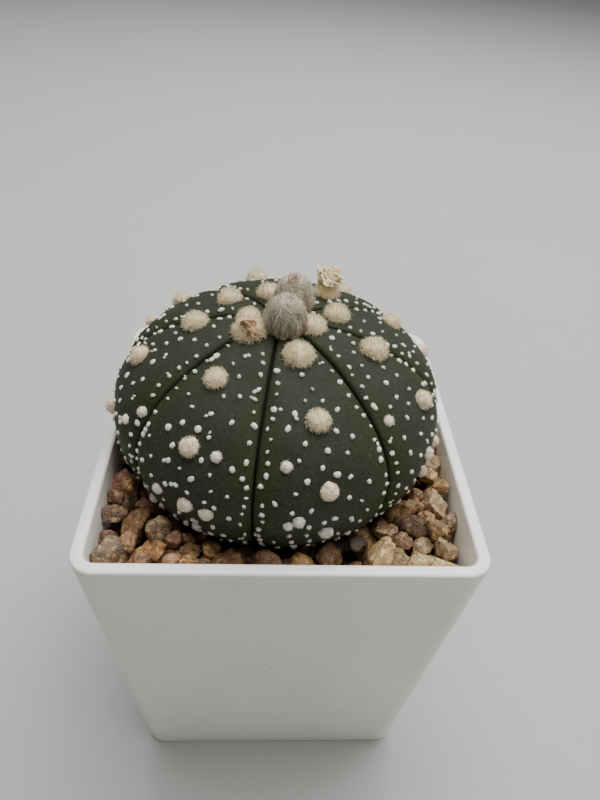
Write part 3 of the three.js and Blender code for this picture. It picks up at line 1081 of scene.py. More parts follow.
# Areoles rib by rib from the front right one, anticlockwise: latitude, degrees off the rib's
# middle and the wool pad's width.
AREOLES: tuple[tuple[tuple[float, float, float], ...], ...] = (
    ((71, 0, 5.8), (45, 0, 4.6), (15, 0, 4), (-9, 0, 3.4), (28, -13, 2.4), (0, -9, 2.9), (-2, -12, 2.4)),
    ((80, 6, 5.4), (58, 11, 5.6), (29, 7, 4.4), (3, 0, 3.2), (0, 9, 3), (-8, 0, 3), (35, -15, 2.4)),
    ((72, 2, 5.2), (45, 8, 4.6), (19, 4, 4.2), (-4, 0, 3.4), (8, 12, 2.4)),
    ((57, 2, 4.8), (43, 0, 4), (17, 2, 4.2), (-6, 4, 3.4), (2, -11, 2.4)),
    ((75, 1.5, 5.0), (46, -1, 5.2), (20, 0, 4.2), (-5, -2, 3.4), (6, 11, 2.4)),
    ((69, -6, 5), (37, -8, 4.6), (29, 7, 3.4), (8, 0, 4), (-12, 2, 3.2)),
    ((80.5, -11, 4.8), (62, -14, 5.2), (37, -6, 4.6), (5, -3, 4.2), (17, 14, 2.4), (27, 19, 2.4),
     (-14, -3, 3.2)),
    ((78, -19, 6.8), (56, -5, 4.4), (28, 0, 4.2), (-1, 2, 3.6), (28, 10, 2.4), (-1, -9, 2.9),
     (-2, 9, 3.1), (-17, -16, 2.6), (-16, 4, 2.2)),
)

# Areoles up to this wide are small tufts, with only a little white wool.
SMALL_TUFT = 2.95


@dataclass(frozen=True)
class Areole:
    """A woolly areole: where it sits on the skin and how wide its pad is."""

    spot: Spot
    width: float


@dataclass
class CactusSkin:
    """The skin of the body and the taproot that grows from its underside."""

    globe: StarGlobe
    areoles: list[Areole]
    per_rib: int = 30
    upwards: int = 124
    crowding: float = 0.86
    crease_depth: float = 0.6
    crease_width: float = 0.25
    fading: Range = (88.0, 78.0)
    swell: float = 0.16
    swell_size: float = 6.0
    dimple: float = 0.3
    dimple_share: float = 0.75
    root_top: float = 66.0
    root_tip: float = 34.0
    root_radius: float = 7.0
    root_tip_radius: float = 1.5
    root_columns: int = 28
    root_rings: int = 22
    root_bluntness: float = 4.0
    root_bumps: float = 3.0
    root_relief: float = 0.12
    finish: Finish = field(default_factory=lambda: PlantCuticle("waxy_plant_cuticle"))

    def azimuth(self, turn: float) -> float:
        """Spread the mesh's columns, so that most of them are near the furrows.

        Args:
            turn: A share of a whole turn.

        Returns:
            The azimuth that the share goes to.
        """
        rib = min(int(turn * self.globe.ribs + 1e-6), self.globe.ribs - 1)
        share = turn * self.globe.ribs - rib
        eased = share - self.crowding * math.sin(math.tau * share) / math.tau
        return lerp(self.globe.furrows[rib], self.globe.furrows[rib + 1], eased)

    def to_furrow(self, azimuth: float, latitude: float) -> float:
        """Return how many millimetres a place lies from the nearest furrow."""
        gap = min(abs((azimuth - furrow + 180) % 360 - 180) for furrow in self.globe.furrows)
        return math.radians(gap) * self.globe.ring(latitude)[0]

    def sink(self, point: Vector) -> float:
        """Work out how far the skin sinks round the areoles near a point.

        Args:
            point: The point.

        Returns:
            The depth of the deepest dimple there.
        """
        sunk = 0.0
        for areole in self.areoles:
            away = (areole.spot.point - point).length / (self.dimple_share * areole.width)
            if away < 2:
                sunk = max(sunk, self.dimple * math.exp(-(away**2)))
        return sunk

    def build(self) -> None:
        """Make the skin and the taproot."""
        material = self.finish.build()
        bm = bmesh.new()
        bmesh.ops.create_uvsphere(
            bm, u_segments=self.globe.ribs * self.per_rib, v_segments=self.upwards, radius=1.0
        )
        furrow = bm.verts.layers.float.new("furrow")
        crease = bm.verts.layers.float.new("crease")
        for vert in bm.verts:
            latitude = math.degrees(math.asin(max(min(vert.co.z, 1), -1)))
            azimuth = self.azimuth(math.atan2(vert.co.y, vert.co.x) / math.tau % 1)
            away = self.to_furrow(azimuth, latitude)
            fade = smooth(*self.fading, abs(latitude))
            # The crease marks the furrow's line: the skin sinks there, and its finish paints it dark as
            # shade.
            vert[crease] = math.exp(-((away / self.crease_width) ** 2)) * fade
            vert[furrow] = self.globe.furrow_share(azimuth)
            spot = self.globe.spot(azimuth, latitude, -self.crease_depth * vert[crease])
            swell = self.swell * noise.noise(spot.point / self.swell_size) * fade
            vert.co = spot.point + spot.normal * (swell - self.sink(spot.point))
        finish_piece(bm, "cactus_skin", material, Slot.SKIN, Node.PLANT)
        self.taproot(material)

    def taproot(self, material: bpy.types.Material) -> None:
        """Make the taproot, a blunt cone in the potting mix.

        Args:
            material: The skin's finish.
        """
        bm = bmesh.new()
        bmesh.ops.create_uvsphere(
            bm, u_segments=self.root_columns, v_segments=self.root_rings, radius=1.0
        )
        for vert in bm.verts:
            turn, up = math.atan2(vert.co.y, vert.co.x), (vert.co.z + 1) / 2
            around = min(self.root_bluntness * math.hypot(vert.co.x, vert.co.y), 1.0)
            radius = lerp(self.root_tip_radius, self.root_radius, up) * around
            vert.co = Vector((
                self.globe.x + radius * math.cos(turn), self.globe.y + radius * math.sin(turn),
                lerp(self.root_tip, self.root_top, up),
            ))
        roughen(bm.verts, self.root_bumps, self.root_relief)
        finish_piece(bm, "taproot", material, Slot.SKIN, Node.PLANT)


@dataclass
class AreoleWool:
    """Felted pads of wool and the short curly hairs that cover them and stand off."""

    name: str
    areoles: list[Areole]
    finish: bpy.types.Material
    seed: int
    height_share: float = 0.52
    core: float = 0.8
    sunk: float = 0.35
    # Real hairs are finer and more than a render can show, so fewer and thicker ones are drawn.
    hairs_per_area: float = 23.0
    hair_radius: float = 0.038
    hair_sizes: Range = (0.7, 1.2)
    hair_base: float = 0.3
    hair_growth: float = 0.24
    shade_spread: float = 0.15
    felt_share: float = 0.42
    fluffy_share: float = 1.25
    felt_height: float = 90.0
    fluffy_height: float = 105.0
    columns: int = 20
    small_columns: int = 12
    small_width: float = 3.0
    lump: float = 0.12
    old_lump: float = 0.16
    fine_lump: float = 0.1
    old_fine_lump: float = 0.06
    dent: float = 0.12
    dent_reach: float = 0.35
    rooting: float = 0.94

    def place(self, areole: Areole, spin: float = 0.0) -> Matrix:
        """Return the placing of a pad on the skin."""
        normal = areole.spot.normal
        return stand(normal, areole.spot.point - normal * self.sunk, spin)

    def build(self) -> None:
        """Make the pads and their hairs as one piece."""
        draw = Draw(self.seed)
        bm = wool_mesh()
        hairs = Hairs()
        for areole in self.areoles:
            self.pad(bm, areole, draw)
            self.coat(hairs, areole, draw)
        hairs.join(bm)
        finish_piece(bm, self.name, self.finish, Slot.WOOL, Node.PLANT)

    def pad(self, bm: BMesh, areole: Areole, draw: Draw) -> None:
        """Add one pad: a dome of felt, lumpy and dented in its middle.

        Args:
            bm: The piece's mesh, with its along and tone layers.
            areole: The areole.
            draw: The piece's random numbers.
        """
        pad = wool_mesh()
        along, tone = pad.verts.layers.float["along"], pad.verts.layers.float["tone"]
        radius, height = areole.width / 2 * self.core, areole.width * self.height_share * self.core
        columns = self.small_columns if areole.width < self.small_width else self.columns
        bmesh.ops.create_uvsphere(pad, u_segments=columns, v_segments=columns // 2 + 2, radius=1.0)
        seed = draw.direction() * 50
        old = smooth(self.fluffy_height, self.felt_height, areole.spot.point.z)
        for vert in pad.verts:
            away = math.hypot(vert.co.x, vert.co.y)
            vert[along] = 0.5
            vert[tone] = 0.5
            lump = noise.noise(vert.co * 1.7 + seed) * (self.lump + self.old_lump * old)
            lump += noise.noise(vert.co * 4.5 + seed) * (self.fine_lump + self.old_fine_lump * old)
            dent = self.dent * math.exp(-((away / self.dent_reach) ** 2)) if vert.co.z > 0 else 0.0
            grown = vert.co * (0.95 + lump - dent)
            vert.co = Vector((grown.x * radius, grown.y * radius, grown.z * height))
        bmesh.ops.transform(pad, matrix=self.place(areole, draw.spread(180)), verts=pad.verts)
        add_shape(bm, pad)

    def coat(self, hairs: Hairs, areole: Areole, draw: Draw) -> None:
        """Add one pad's hairs, which curl every way: long ones at the crown, short felt below.

        Args:
            hairs: Where the hairs go.
            areole: The areole.
            draw: The piece's random numbers.
        """
        radius, height = areole.width / 2, areole.width * self.height_share
        place = self.place(areole)
        turn = place.to_3x3()
        fluffy = smooth(self.felt_height, self.fluffy_height, areole.spot.point.z)
        length = self.hair_base + self.hair_growth * radius
        length *= lerp(self.felt_share, self.fluffy_share, fluffy)
        shade = draw.between(-self.shade_spread, self.shade_spread)
        for _ in range(int(self.hairs_per_area * areole.width**2)):
            way = draw.direction()
            way.z = abs(way.z) * 0.95 - 0.05
            way.normalize()
            reach = self.core * self.rooting
            root = place @ Vector((way.x * radius * reach, way.y * radius * reach, way.z * height * reach))
            out = turn @ Vector((way.x / radius, way.y / radius, way.z / height)).normalized()
            # Short felt leans away from the skin, and long wool stands off the pad every way.
            upright = areole.spot.normal * lerp(0.8, 0.0, fluffy)
            lean = (out + upright + draw.direction() * 0.6).normalized()
            curl = (out * 0.1 + draw.direction() - UP * 0.25).normalized()
            middle = root + lean * length * draw.between(0.4, 0.7)
            points = [root, middle, middle + curl * length * draw.between(0.3, 0.6)]
            # Most hairs are pale, and those in the pad's middle are darker.
            tone = draw.share() ** 0.6 - 0.35 * math.exp(-((1 - way.z) * 6)) + shade
            hairs.add(points, self.hair_radius * draw.between(*self.hair_sizes), tone)


@dataclass
class Flecks:
    """The small flecks of white wool: in rows beside the furrows, in arches over the areoles
    and scattered over what is left of each rib."""

    globe: StarGlobe
    keep_out: list[tuple[Vector, float]]
    finish: bpy.types.Material
    seed: int = 20417
    shape_seed: int = 5511
    length: float = 1.04
    width: float = 0.84
    proud: float = 0.36
    sizes: Range = (0.62, 1.18)
    twin_share: float = 0.14
    twin_sizes: Range = (0.6, 0.9)
    twin_steps: Range = (0.7, 0.9)
    columns: int = 10
    rings: int = 6
    slimness: Range = (0.85, 1.15)
    lump: float = 0.3
    shades: Range = (0.55, 1.0)
    hairs_each: int = 7
    hair_radius: float = 0.032
    hair_lengths: Range = (0.15, 0.32)
    gap: float = 1.55
    scatter_gap: float = 2.45
    scatter_tries: int = 420
    scatter_heights: Range = (-0.55, 0.97)
    row_top: float = 78.0
    row_bottom: float = -34.0
    row_step: float = 2.5
    row_offset: float = 1.5
    row_limit: float = 0.7
    row_waver: float = 0.45
    step_waver: float = 0.8
    arch_rise: float = 8.0
    arch_fall: float = 13.0
    arch_step: float = 2.6
    arch_half: float = 16.0
    arch_waver: float = 1.3
    arched_width: float = 3.0
    arched_below: float = 70.0
    furrow_margin: float = 3.0

    def candidates(self, draw: Draw) -> Iterator[tuple[float, float, float]]:
        """Propose where flecks may grow: in rows, in arches and scattered.

        Args:
            draw: The flecks' random numbers.

        Yields:
            A place's azimuth and latitude, and the gap that a fleck needs there.
        """
        for rib, areoles in enumerate(AREOLES):
            middle = self.globe.rib_middle(rib)
            half = middle - self.globe.furrows[rib]
            for side in (-1, 1):
                latitude = self.row_top - draw.spread(2)
                while latitude > self.row_bottom:
                    offset = self.row_offset + draw.spread(self.row_waver)
                    aside = math.degrees(offset / self.globe.ring(latitude)[0])
                    aside = min(aside, self.row_limit * half)
                    yield middle + side * (half - aside), latitude, self.gap
                    step = self.row_step + draw.spread(self.step_waver)
                    latitude -= math.degrees(step / self.globe.radius)
            for at, off_middle, width in areoles:
                if width <= self.arched_width or at >= self.arched_below:
                    continue
                step = math.degrees(self.arch_step / self.globe.ring(at)[0])
                across = -self.arch_half
                while across <= self.arch_half:
                    fall = self.arch_fall * (across / self.arch_half) ** 2
                    latitude = at + self.arch_rise - fall + draw.spread(self.arch_waver)
                    yield middle + 0.5 * off_middle + across + draw.spread(1), latitude, self.gap
                    across += step
            for _ in range(self.scatter_tries):
                latitude = math.degrees(math.asin(lerp(*self.scatter_heights, draw.share())))
                yield middle + draw.spread(half - self.furrow_margin), latitude, self.scatter_gap

    def places(self) -> list[tuple[Spot, float, float]]:
        """Choose the flecks, drawn in the order of the CAD source.

        Returns:
            The place, spin and size of each candidate that crowds no other fleck, areole or bud.
        """
        draw = Draw(self.seed)
        found: list[tuple[Spot, float, float]] = []
        for azimuth, latitude, gap in self.candidates(draw):
            spin, size = draw.spread(180), 1 + draw.spread(0.22)
            spot = self.globe.spot(azimuth, latitude)
            crowded = any((other.point - spot.point).length < gap for other, _, _ in found)
            if not crowded and all((at - spot.point).length >= reach for at, reach in self.keep_out):
                found.append((spot, spin, size))
        return found

    def build(self) -> None:
        """Make all the flecks, some of them in twos, as one piece."""
        draw = Draw(self.shape_seed)
        bm = wool_mesh()
        hairs = Hairs()
        for spot, spin, size in self.places():
            place = stand(spot.normal, spot.point, spin)
            size *= draw.between(*self.sizes)
            self.tuft(bm, hairs, place, size, draw)
            if draw.share() < self.twin_share:
                step = (draw.between(*self.twin_steps) * size, draw.spread(0.4), 0)
                twin = place @ Matrix.Translation(step)
                self.tuft(bm, hairs, twin, size * draw.between(*self.twin_sizes), draw)
        hairs.join(bm)
        finish_piece(bm, "white_flecks", self.finish, Slot.WOOL, Node.PLANT)

    def tuft(
        self, bm: BMesh, hairs: Hairs, place: Matrix, size: float, draw: Draw
    ) -> None:
        """Add one fleck: a flat lump of felt with a few fine hairs.

        Args:
            bm: The flecks' mesh.
            hairs: Where the hairs go.
            place: The fleck's placing on the skin.
            size: Its size as a share of the usual one.
            draw: The flecks' random numbers.
        """
        fleck = wool_mesh()
        along, tone = fleck.verts.layers.float["along"], fleck.verts.layers.float["tone"]
        slim = draw.between(*self.slimness)
        half = Vector((size * self.length / 2 / slim, size * self.width / 2 * slim, self.proud))
        bmesh.ops.create_uvsphere(fleck, u_segments=self.columns, v_segments=self.rings, radius=1.0)
        seed = draw.direction() * 60
        shade = draw.between(*self.shades)
        for vert in fleck.verts:
            vert[along] = 1.0
            vert[tone] = shade
            vert.co *= 0.97 + self.lump * noise.noise(vert.co * 1.3 + seed)
            vert.co = place @ Vector((vert.co.x * half.x, vert.co.y * half.y, vert.co.z * half.z))
        add_shape(bm, fleck)
        for _ in range(self.hairs_each):
            turn = draw.between(0, math.tau)
            way = Vector((math.cos(turn), math.sin(turn), draw.between(0.1, 0.9))).normalized()
            root = Vector((way.x * half.x * 0.8, way.y * half.y * 0.8, half.z * way.z * 0.9))
            tip = root + way * draw.between(*self.hair_lengths)
            hairs.add([place @ root, place @ tip], self.hair_radius, draw.between(0.6, 1.0))


# ---- Flowers ----


@dataclass
class WoollyBud:
    """A flower bud in its coat of combed wool, whose hairs run to a whorl."""

    name: str
    node: Node
    x: float
    y: float
    base: float
    radius: float
    length: float
    lean: float
    twist: float
    whorl: Vector
    hairs: int
    seed: int
    finish: bpy.types.Material
    columns: int = 64
    rings: int = 40
    ridges: int = 8
    ridge: float = 0.05
    belly: float = 1.05
    slimming: float = 0.3
    bluntness: float = 0.7
    felt_share: float = 0.95
    lump_size: float = 1.1
    lump: float = 0.12
    swirl: float = 0.95
    swirl_reach: float = 2.6
    # These hairs too are drawn thicker than the real ones, and fewer.
    hair_lift: float = 0.1
    hair_step: float = 0.62
    hair_steps: Range = (0.7, 1.15)
    hair_rises: Range = (0.02, 0.15)
    hair_sway: float = 0.5
    hair_rings: int = 6
    hair_radius: float = 0.076
    hair_sizes: Range = (0.7, 1.3)
    stray_share: float = 0.18
    stray_size: float = 0.6
    stray_lengths: Range = (0.5, 1.3)
    lock_size: float = 1.3
    lock_sway: float = 0.75
    lock_tone: float = 0.8
    lock_grain: float = 0.35

    @property
    def tilt(self) -> Matrix:
        """Return the turn that leans the bud to the front."""
        return Matrix.Rotation(math.radians(self.lean), 3, "X")

    def surface(self, ball: Vector) -> Vector:
        """Turn a unit ball into the bud.

        Args:
            ball: A point of the ball.

        Returns:
            Where it goes on the bud.
        """
        v = math.acos(max(min(-ball.z, 1), -1)) / math.pi
        turn = math.atan2(ball.y, ball.x)
        swell = self.belly - self.slimming * v * v
        ridge = 1 + self.ridge * math.cos(self.ridges * turn + math.radians(4 * self.twist * v))
        round_share = math.sin(math.pi * v) ** self.bluntness
        radius = round_share * self.radius * self.felt_share * swell * ridge
        up = (0.5 - 0.5 * math.cos(math.pi * v)) * self.length
        local = Vector((radius * math.cos(turn), radius * math.sin(turn), up))
        return self.tilt @ local + Vector((self.x, self.y, self.base))

    def normal(self, ball: Vector) -> Vector:
        """Return the way the bud faces where a point of a unit ball goes."""
        out = Vector((ball.x / self.radius, ball.y / self.radius, 2 * ball.z / self.length))
        return (self.tilt @ out).normalized()

    def slide(self, ball: Vector, move: Vector) -> Vector:
        """Move a place on the bud a little.

        Args:
            ball: The point of a unit ball that goes there.
            move: How far the place moves.

        Returns:
            The point of the ball that goes to the new place.
        """
        local = self.tilt.transposed() @ move
        step = Vector((local.x / self.radius, local.y / self.radius, 2 * local.z / self.length))
        return (ball + step).normalized()

    def build(self) -> None:
        """Make the bud's felt and its hairs as one piece."""
        bm = wool_mesh()
        bmesh.ops.create_uvsphere(bm, u_segments=self.columns, v_segments=self.rings, radius=1.0)
        for vert in bm.verts:
            vert.co = self.surface(vert.co)
        roughen(bm.verts, self.lump_size, self.lump)
        hairs = Hairs()
        self.comb(hairs)
        hairs.join(bm)
        finish_piece(bm, self.name, self.finish, Slot.WOOL, self.node)

    def comb(self, hairs: Hairs) -> None:
        """Add the hairs: most follow the felt towards the whorl, and a few stand off it.

        Args:
            hairs: Where the hairs go.
        """
        draw = Draw(self.seed)
        for _ in range(self.hairs):
            ball = draw.direction()
            if draw.share() < self.stray_share:
                points = self.stray(ball, draw)
                radius = self.stray_size * self.hair_radius
            else:
                points = self.combed(ball, draw)
                radius = self.hair_radius
            lock = self.lock_tone * noise.noise(points[0] / (self.lock_grain * self.lock_size))
            tone = min(max(1.1 * draw.share() + 0.1 + lock, 0.0), 1.0)
            hairs.add(points, radius * draw.between(*self.hair_sizes), tone)

    def combed(self, ball: Vector, draw: Draw) -> list[Vector]:
        """Return the line of a hair that lies on the felt, towards the whorl and about it.

        Args:
            ball: The point of a unit ball that goes where the hair grows.
            draw: The bud's random numbers.

        Returns:
            The hair's points, root first.
        """
        lift = self.hair_lift
        points = []
        sway = draw.spread(self.hair_sway)
        step = self.hair_step * draw.between(*self.hair_steps)
        for _ in range(self.hair_rings):
            near, normal = self.surface(ball), self.normal(ball)
            points.append(near + normal * lift)
            to_whorl = self.whorl - near
            inward = (to_whorl - normal * to_whorl.dot(normal)).normalized()
            around = normal.cross(inward)
            curl = self.swirl * math.exp(-((to_whorl.length / self.swirl_reach) ** 2)) + sway * 0.5
            way = (inward * (1 - abs(curl) * 0.8) + around * curl).normalized()
            way += noise.noise_vector(near / self.lock_size) * self.lock_sway
            ball = self.slide(ball, way * step + draw.direction() * 0.05)
            lift += draw.between(*self.hair_rises)
        return points

    def stray(self, ball: Vector, draw: Draw) -> list[Vector]:
        """Return the line of a hair that stands off the felt.

        Args:
            ball: The point of a unit ball that goes where the hair grows.
            draw: The bud's random numbers.

        Returns:
            The hair's points, root first.
        """
        near = self.surface(ball)
        way = (self.normal(ball) + draw.direction() * 0.7 + UP * 0.4).normalized()
        bend = (way + draw.direction() * 0.8).normalized()
        reach = draw.between(*self.stray_lengths)
        middle = near + way * reach * 0.5
        return [near, middle, middle + bend * reach * 0.5]


@dataclass
class BudTip:
    """The reddish tips of a flower's inner leaves, which push out through its bud's wool."""

    name: str
    node: Node
    tip: Vector
    lean: Vector
    finish: bpy.types.Material
    count: int = 90
    spread: float = 0.6
    reach: float = 2.0
    reaches: Range = (0.4, 1.0)
    radii: Range = (0.05, 0.1)
    seed: int = 71

    def build(self) -> None:
        """Make the tips as one piece."""
        draw = Draw(self.seed)
        bm = wool_mesh()
        hairs = Hairs()
        for _ in range(self.count):
            aside = draw.direction()
            depth = 0.5 + 0.4 * abs(aside.z)
            root = self.tip + Vector((aside.x * self.spread, aside.y * self.spread, -depth))
            way = (self.lean + aside * 0.45).normalized()
            reach = self.reach * draw.between(*self.reaches)
            bend = (way - aside * 0.4 + draw.direction() * 0.5).normalized()
            middle = root + way * reach * 0.6
            radius = draw.between(*self.radii)
            hairs.add([root, middle, middle + bend * reach * 0.4], radius, draw.share())
        hairs.join(bm)
        finish_piece(bm, self.name, self.finish, Slot.WOOL, self.node)


@dataclass
class Lint:
    """A few loose hairs that cling to the crown and the skin."""

    finish: bpy.types.Material
    roots: tuple[tuple[float, float, float], ...] = (
        (0.4, 7.2, 109.9), (-5.6, 17.6, 103.6), (5.3, -3.2, 104.0), (9.6, 6.2, 105.3),
    )
    ends: tuple[tuple[float, float, float], ...] = (
        (0.9, 11.4, 113.6), (-5.0, 20.0, 105.4), (10.4, -6.4, 103.4), (12.4, 5.4, 104.3),
    )
    sway: float = 0.7
    radius: float = 0.05
    points: int = 9
    seed: int = 87

    def build(self) -> None:
        """Make the hairs as one piece."""
        draw = Draw(self.seed)
        bm = wool_mesh()
        hairs = Hairs()
        for root, end in zip(self.roots, self.ends, strict=True):
            aside = draw.direction() * self.sway
            line = []
            for step in range(self.points):
                share = step / (self.points - 1)
                wave = aside * math.sin(1.4 * math.pi * share) * share
                line.append(Vector(root).lerp(Vector(end), share) + wave)
            hairs.add(line, self.radius, 1.0)
        hairs.join(bm)
        finish_piece(bm, "lint_hairs", self.finish, Slot.WOOL, Node.PLANT)


@dataclass(frozen=True)
class Blade:
    """A dried petal: it grows along +Z from the origin, bows out, curls over and crumples."""

    width: float
    length: float
    curl: float
    crumple: float
    columns: int = 14
    rows: int = 16
    foot_width: float = 0.45
    belly_width: float = 0.75
    raggedness: float = 0.25
    largest_twist: float = 55.0
    fold_count: float = 5.5
    fold_height: float = 0.55
    fine_share: float = 0.45

    def build(self, draw: Draw) -> BMesh:
        """Make the petal.

        Args:
            draw: The flower's random numbers.

        Returns:
            The petal, one face thick.
        """
        blade = bmesh.new()
        bmesh.ops.create_grid(blade, x_segments=self.columns, y_segments=self.rows, size=0.5)
        width, length = self.width, self.length
        bend = math.radians(self.curl)
        twist = math.radians(draw.spread(self.largest_twist))
        seed = draw.direction() * 30
        phase = draw.between(0, math.tau)
        for vert in blade.verts:
            up = vert.co.y + 0.5
            belly = self.belly_width * math.sin(math.pi * min(up * 0.82 + 0.08, 1))
            across = vert.co.x * width * (self.foot_width + belly)
            turned = bend * up * up
            rough = noise.noise(Vector((across * 2.2, up * 2, 0)) + seed)
            ragged = 1 + self.raggedness * rough * up
            out = 0.5 * width * (across / width) ** 2 - math.sin(turned) * up * length * 0.55
            fold = math.sin(self.fold_count * across / width * 2 + phase + 2 * up)
            out += self.crumple * self.fold_height * fold * up * up
            point = Vector((across, out, math.cos(turned * 0.6) * up * length * ragged))
            point += noise.noise_vector(point * 0.9 + seed) * self.crumple * up
            point += noise.noise_vector(point * 2.6 + seed) * self.fine_share * self.crumple * up
            vert.co = Matrix.Rotation(twist * up, 3, "Z") @ point
        return blade


def thicken(bm: BMesh, thickness: float) -> None:
    """Give sheets a thickness: each is drawn out against the way it faces.

    Args:
        bm: The sheets, each one face thick.
        thickness: How thick they become.
    """
    facing = bm.verts.layers.float_vector.new("facing")
    bm.normal_update()
    for vert in bm.verts:
        vert[facing] = vert.normal
    made = bmesh.ops.extrude_face_region(bm, geom=bm.faces, use_keep_orig=True)["geom"]
    for vert in (g for g in made if isinstance(g, BMVert)):
        vert.co -= Vector(vert[facing]) * thickness
    bm.verts.layers.float_vector.remove(facing)
    bmesh.ops.recalc_face_normals(bm, faces=bm.faces)


@dataclass
class DriedFlower:
    """The dried flower behind the crown: a withered tube that opens into crumpled petals."""

    x: float = 8.0
    y: float = 14.65
    base: float = 102.4
    tube_radius: float = 1.8
    tube_length: float = 3.8
    tube_columns: int = 44
    tube_rings: int = 22
    petals: int = 12
    petal_length: float = 2.8
    petal_width: float = 3.3
    petal_sizes: Range = (0.7, 1.15)
    petal_curls: Range = (-25.0, 45.0)
    petal_tilts: Range = (2.0, 32.0)
    petal_depth: float = 0.9
    crumple: float = 0.36
    thickness: float = 0.25
    lean: float = 6.0
    seed: int = 404
    finish: Finish = field(
        default_factory=lambda: DriedTissue(
            "petal_dried_to_paper", paper="f2e4c2", vein="d0b17c", stain="aa8650", stained=0.35
        )
    )

    @property
    def place(self) -> Matrix:
        """Return the placing of the flower, leaning a little to the front."""
        lean = Matrix.Rotation(math.radians(self.lean), 4, "X")
        return Matrix.Translation((self.x, self.y, self.base)) @ lean

    def petal(self, bm: BMesh, index: int, draw: Draw) -> None:
        """Add one petal at the tube's mouth.

        Args:
            bm: The flower's mesh.
            index: Which petal it is.
            draw: The flower's random numbers.
        """
        length = self.petal_length * draw.between(*self.petal_sizes)
        curl = draw.between(*self.petal_curls)
        blade = Blade(self.petal_width, length, curl, self.crumple).build(draw)
        turn = Matrix.Rotation(math.tau * index / self.petals + draw.spread(0.3), 4, "Z")
        ring = self.tube_radius * (0.3 + 0.32 * (index % 3))
        out_and_down = Matrix.Translation((0, -ring, -self.petal_depth))
        tip = Matrix.Rotation(math.radians(draw.between(*self.petal_tilts)), 4, "X")
        rise = Matrix.Translation((0, 0, self.tube_length))
        place = self.place @ rise @ turn @ out_and_down @ tip
        bmesh.ops.transform(blade, matrix=place, verts=blade.verts)
        add_shape(bm, blade)

    def tube(self, bm: BMesh) -> None:
        """Add the withered tube, pleated lengthwise and narrow in its middle.

        Args:
            bm: The flower's mesh.
        """
        made = bmesh.ops.create_uvsphere(
            bm, u_segments=self.tube_columns, v_segments=self.tube_rings, radius=1.0
        )
        for vert in made["verts"]:
            turn, up = math.atan2(vert.co.y, vert.co.x), (vert.co.z + 1) / 2
            around = min(2.6 * math.hypot(vert.co.x, vert.co.y), 1.0)
            pleat = 1 + 0.07 * math.sin(9 * turn + 2 * up) + 0.05 * math.sin(17 * turn)
            radius = self.tube_radius * around * pleat * (1.12 - 0.95 * up + 0.8 * up * up)
            vert.co = Vector((radius * math.cos(turn), radius * math.sin(turn), up * self.tube_length))
        bmesh.ops.transform(bm, matrix=self.place, verts=made["verts"])

    def build(self) -> None:
        """Make the petals and the tube."""
        draw = Draw(self.seed)
        bm = bmesh.new()
        for index in range(self.petals):
            self.petal(bm, index, draw)
        thicken(bm, self.thickness)
        self.tube(bm)
        finish_piece(bm, "dried_flower", self.finish.build(), Slot.DRIED, Node.DRIED_FLOWER)


@dataclass
class FlowerRest:
    """The brown shrivelled rest of a flower, which lies on the wool at the crown's front left."""

    root: Vector = field(default_factory=lambda: Vector((-8.3, -2.6, 106.3)))
    tip: Vector = field(default_factory=lambda: Vector((-5.4, -4.5, 106.3)))
    width: float = 2.1
    thickness: float = 0.16
    blades: int = 4
    blade_sizes: Range = (0.8, 1.15)
    blade_curls: Range = (0.0, 45.0)
    crumple: float = 0.3
    seed: int = 59
    finish: Finish = field(
        default_factory=lambda: DriedTissue(
            "shrivelled_petal_tissue", paper="c9a47c", vein="a07850", stain="785034", stained=0.6
        )
    )

    def build(self) -> None:
        """Make the rest: a few blades that shrivelled in one, wider at the end that opened."""
        draw = Draw(self.seed)
        bm = bmesh.new()
        line = self.tip - self.root
        for index in range(self.blades):
            length = line.length * draw.between(*self.blade_sizes)
            curl = draw.between(*self.blade_curls)
            blade = Blade(self.width, length, curl, self.crumple).build(draw)
            way = (line.normalized() + draw.direction() * 0.22).normalized()
            place = stand(way, self.root, 360 * index / self.blades + draw.spread(30))
            bmesh.ops.transform(blade, matrix=place, verts=blade.verts)
            add_shape(bm, blade)
        thicken(bm, self.thickness)
        finish_piece(bm, "flower_rest", self.finish.build(), Slot.WITHERED, Node.FLOWER_REST)


# ---- Grit ----


@dataclass(frozen=True)
class Stone:
    """One chip of granite: where its middle lies and half its size."""

    at: Vector
    radius: float


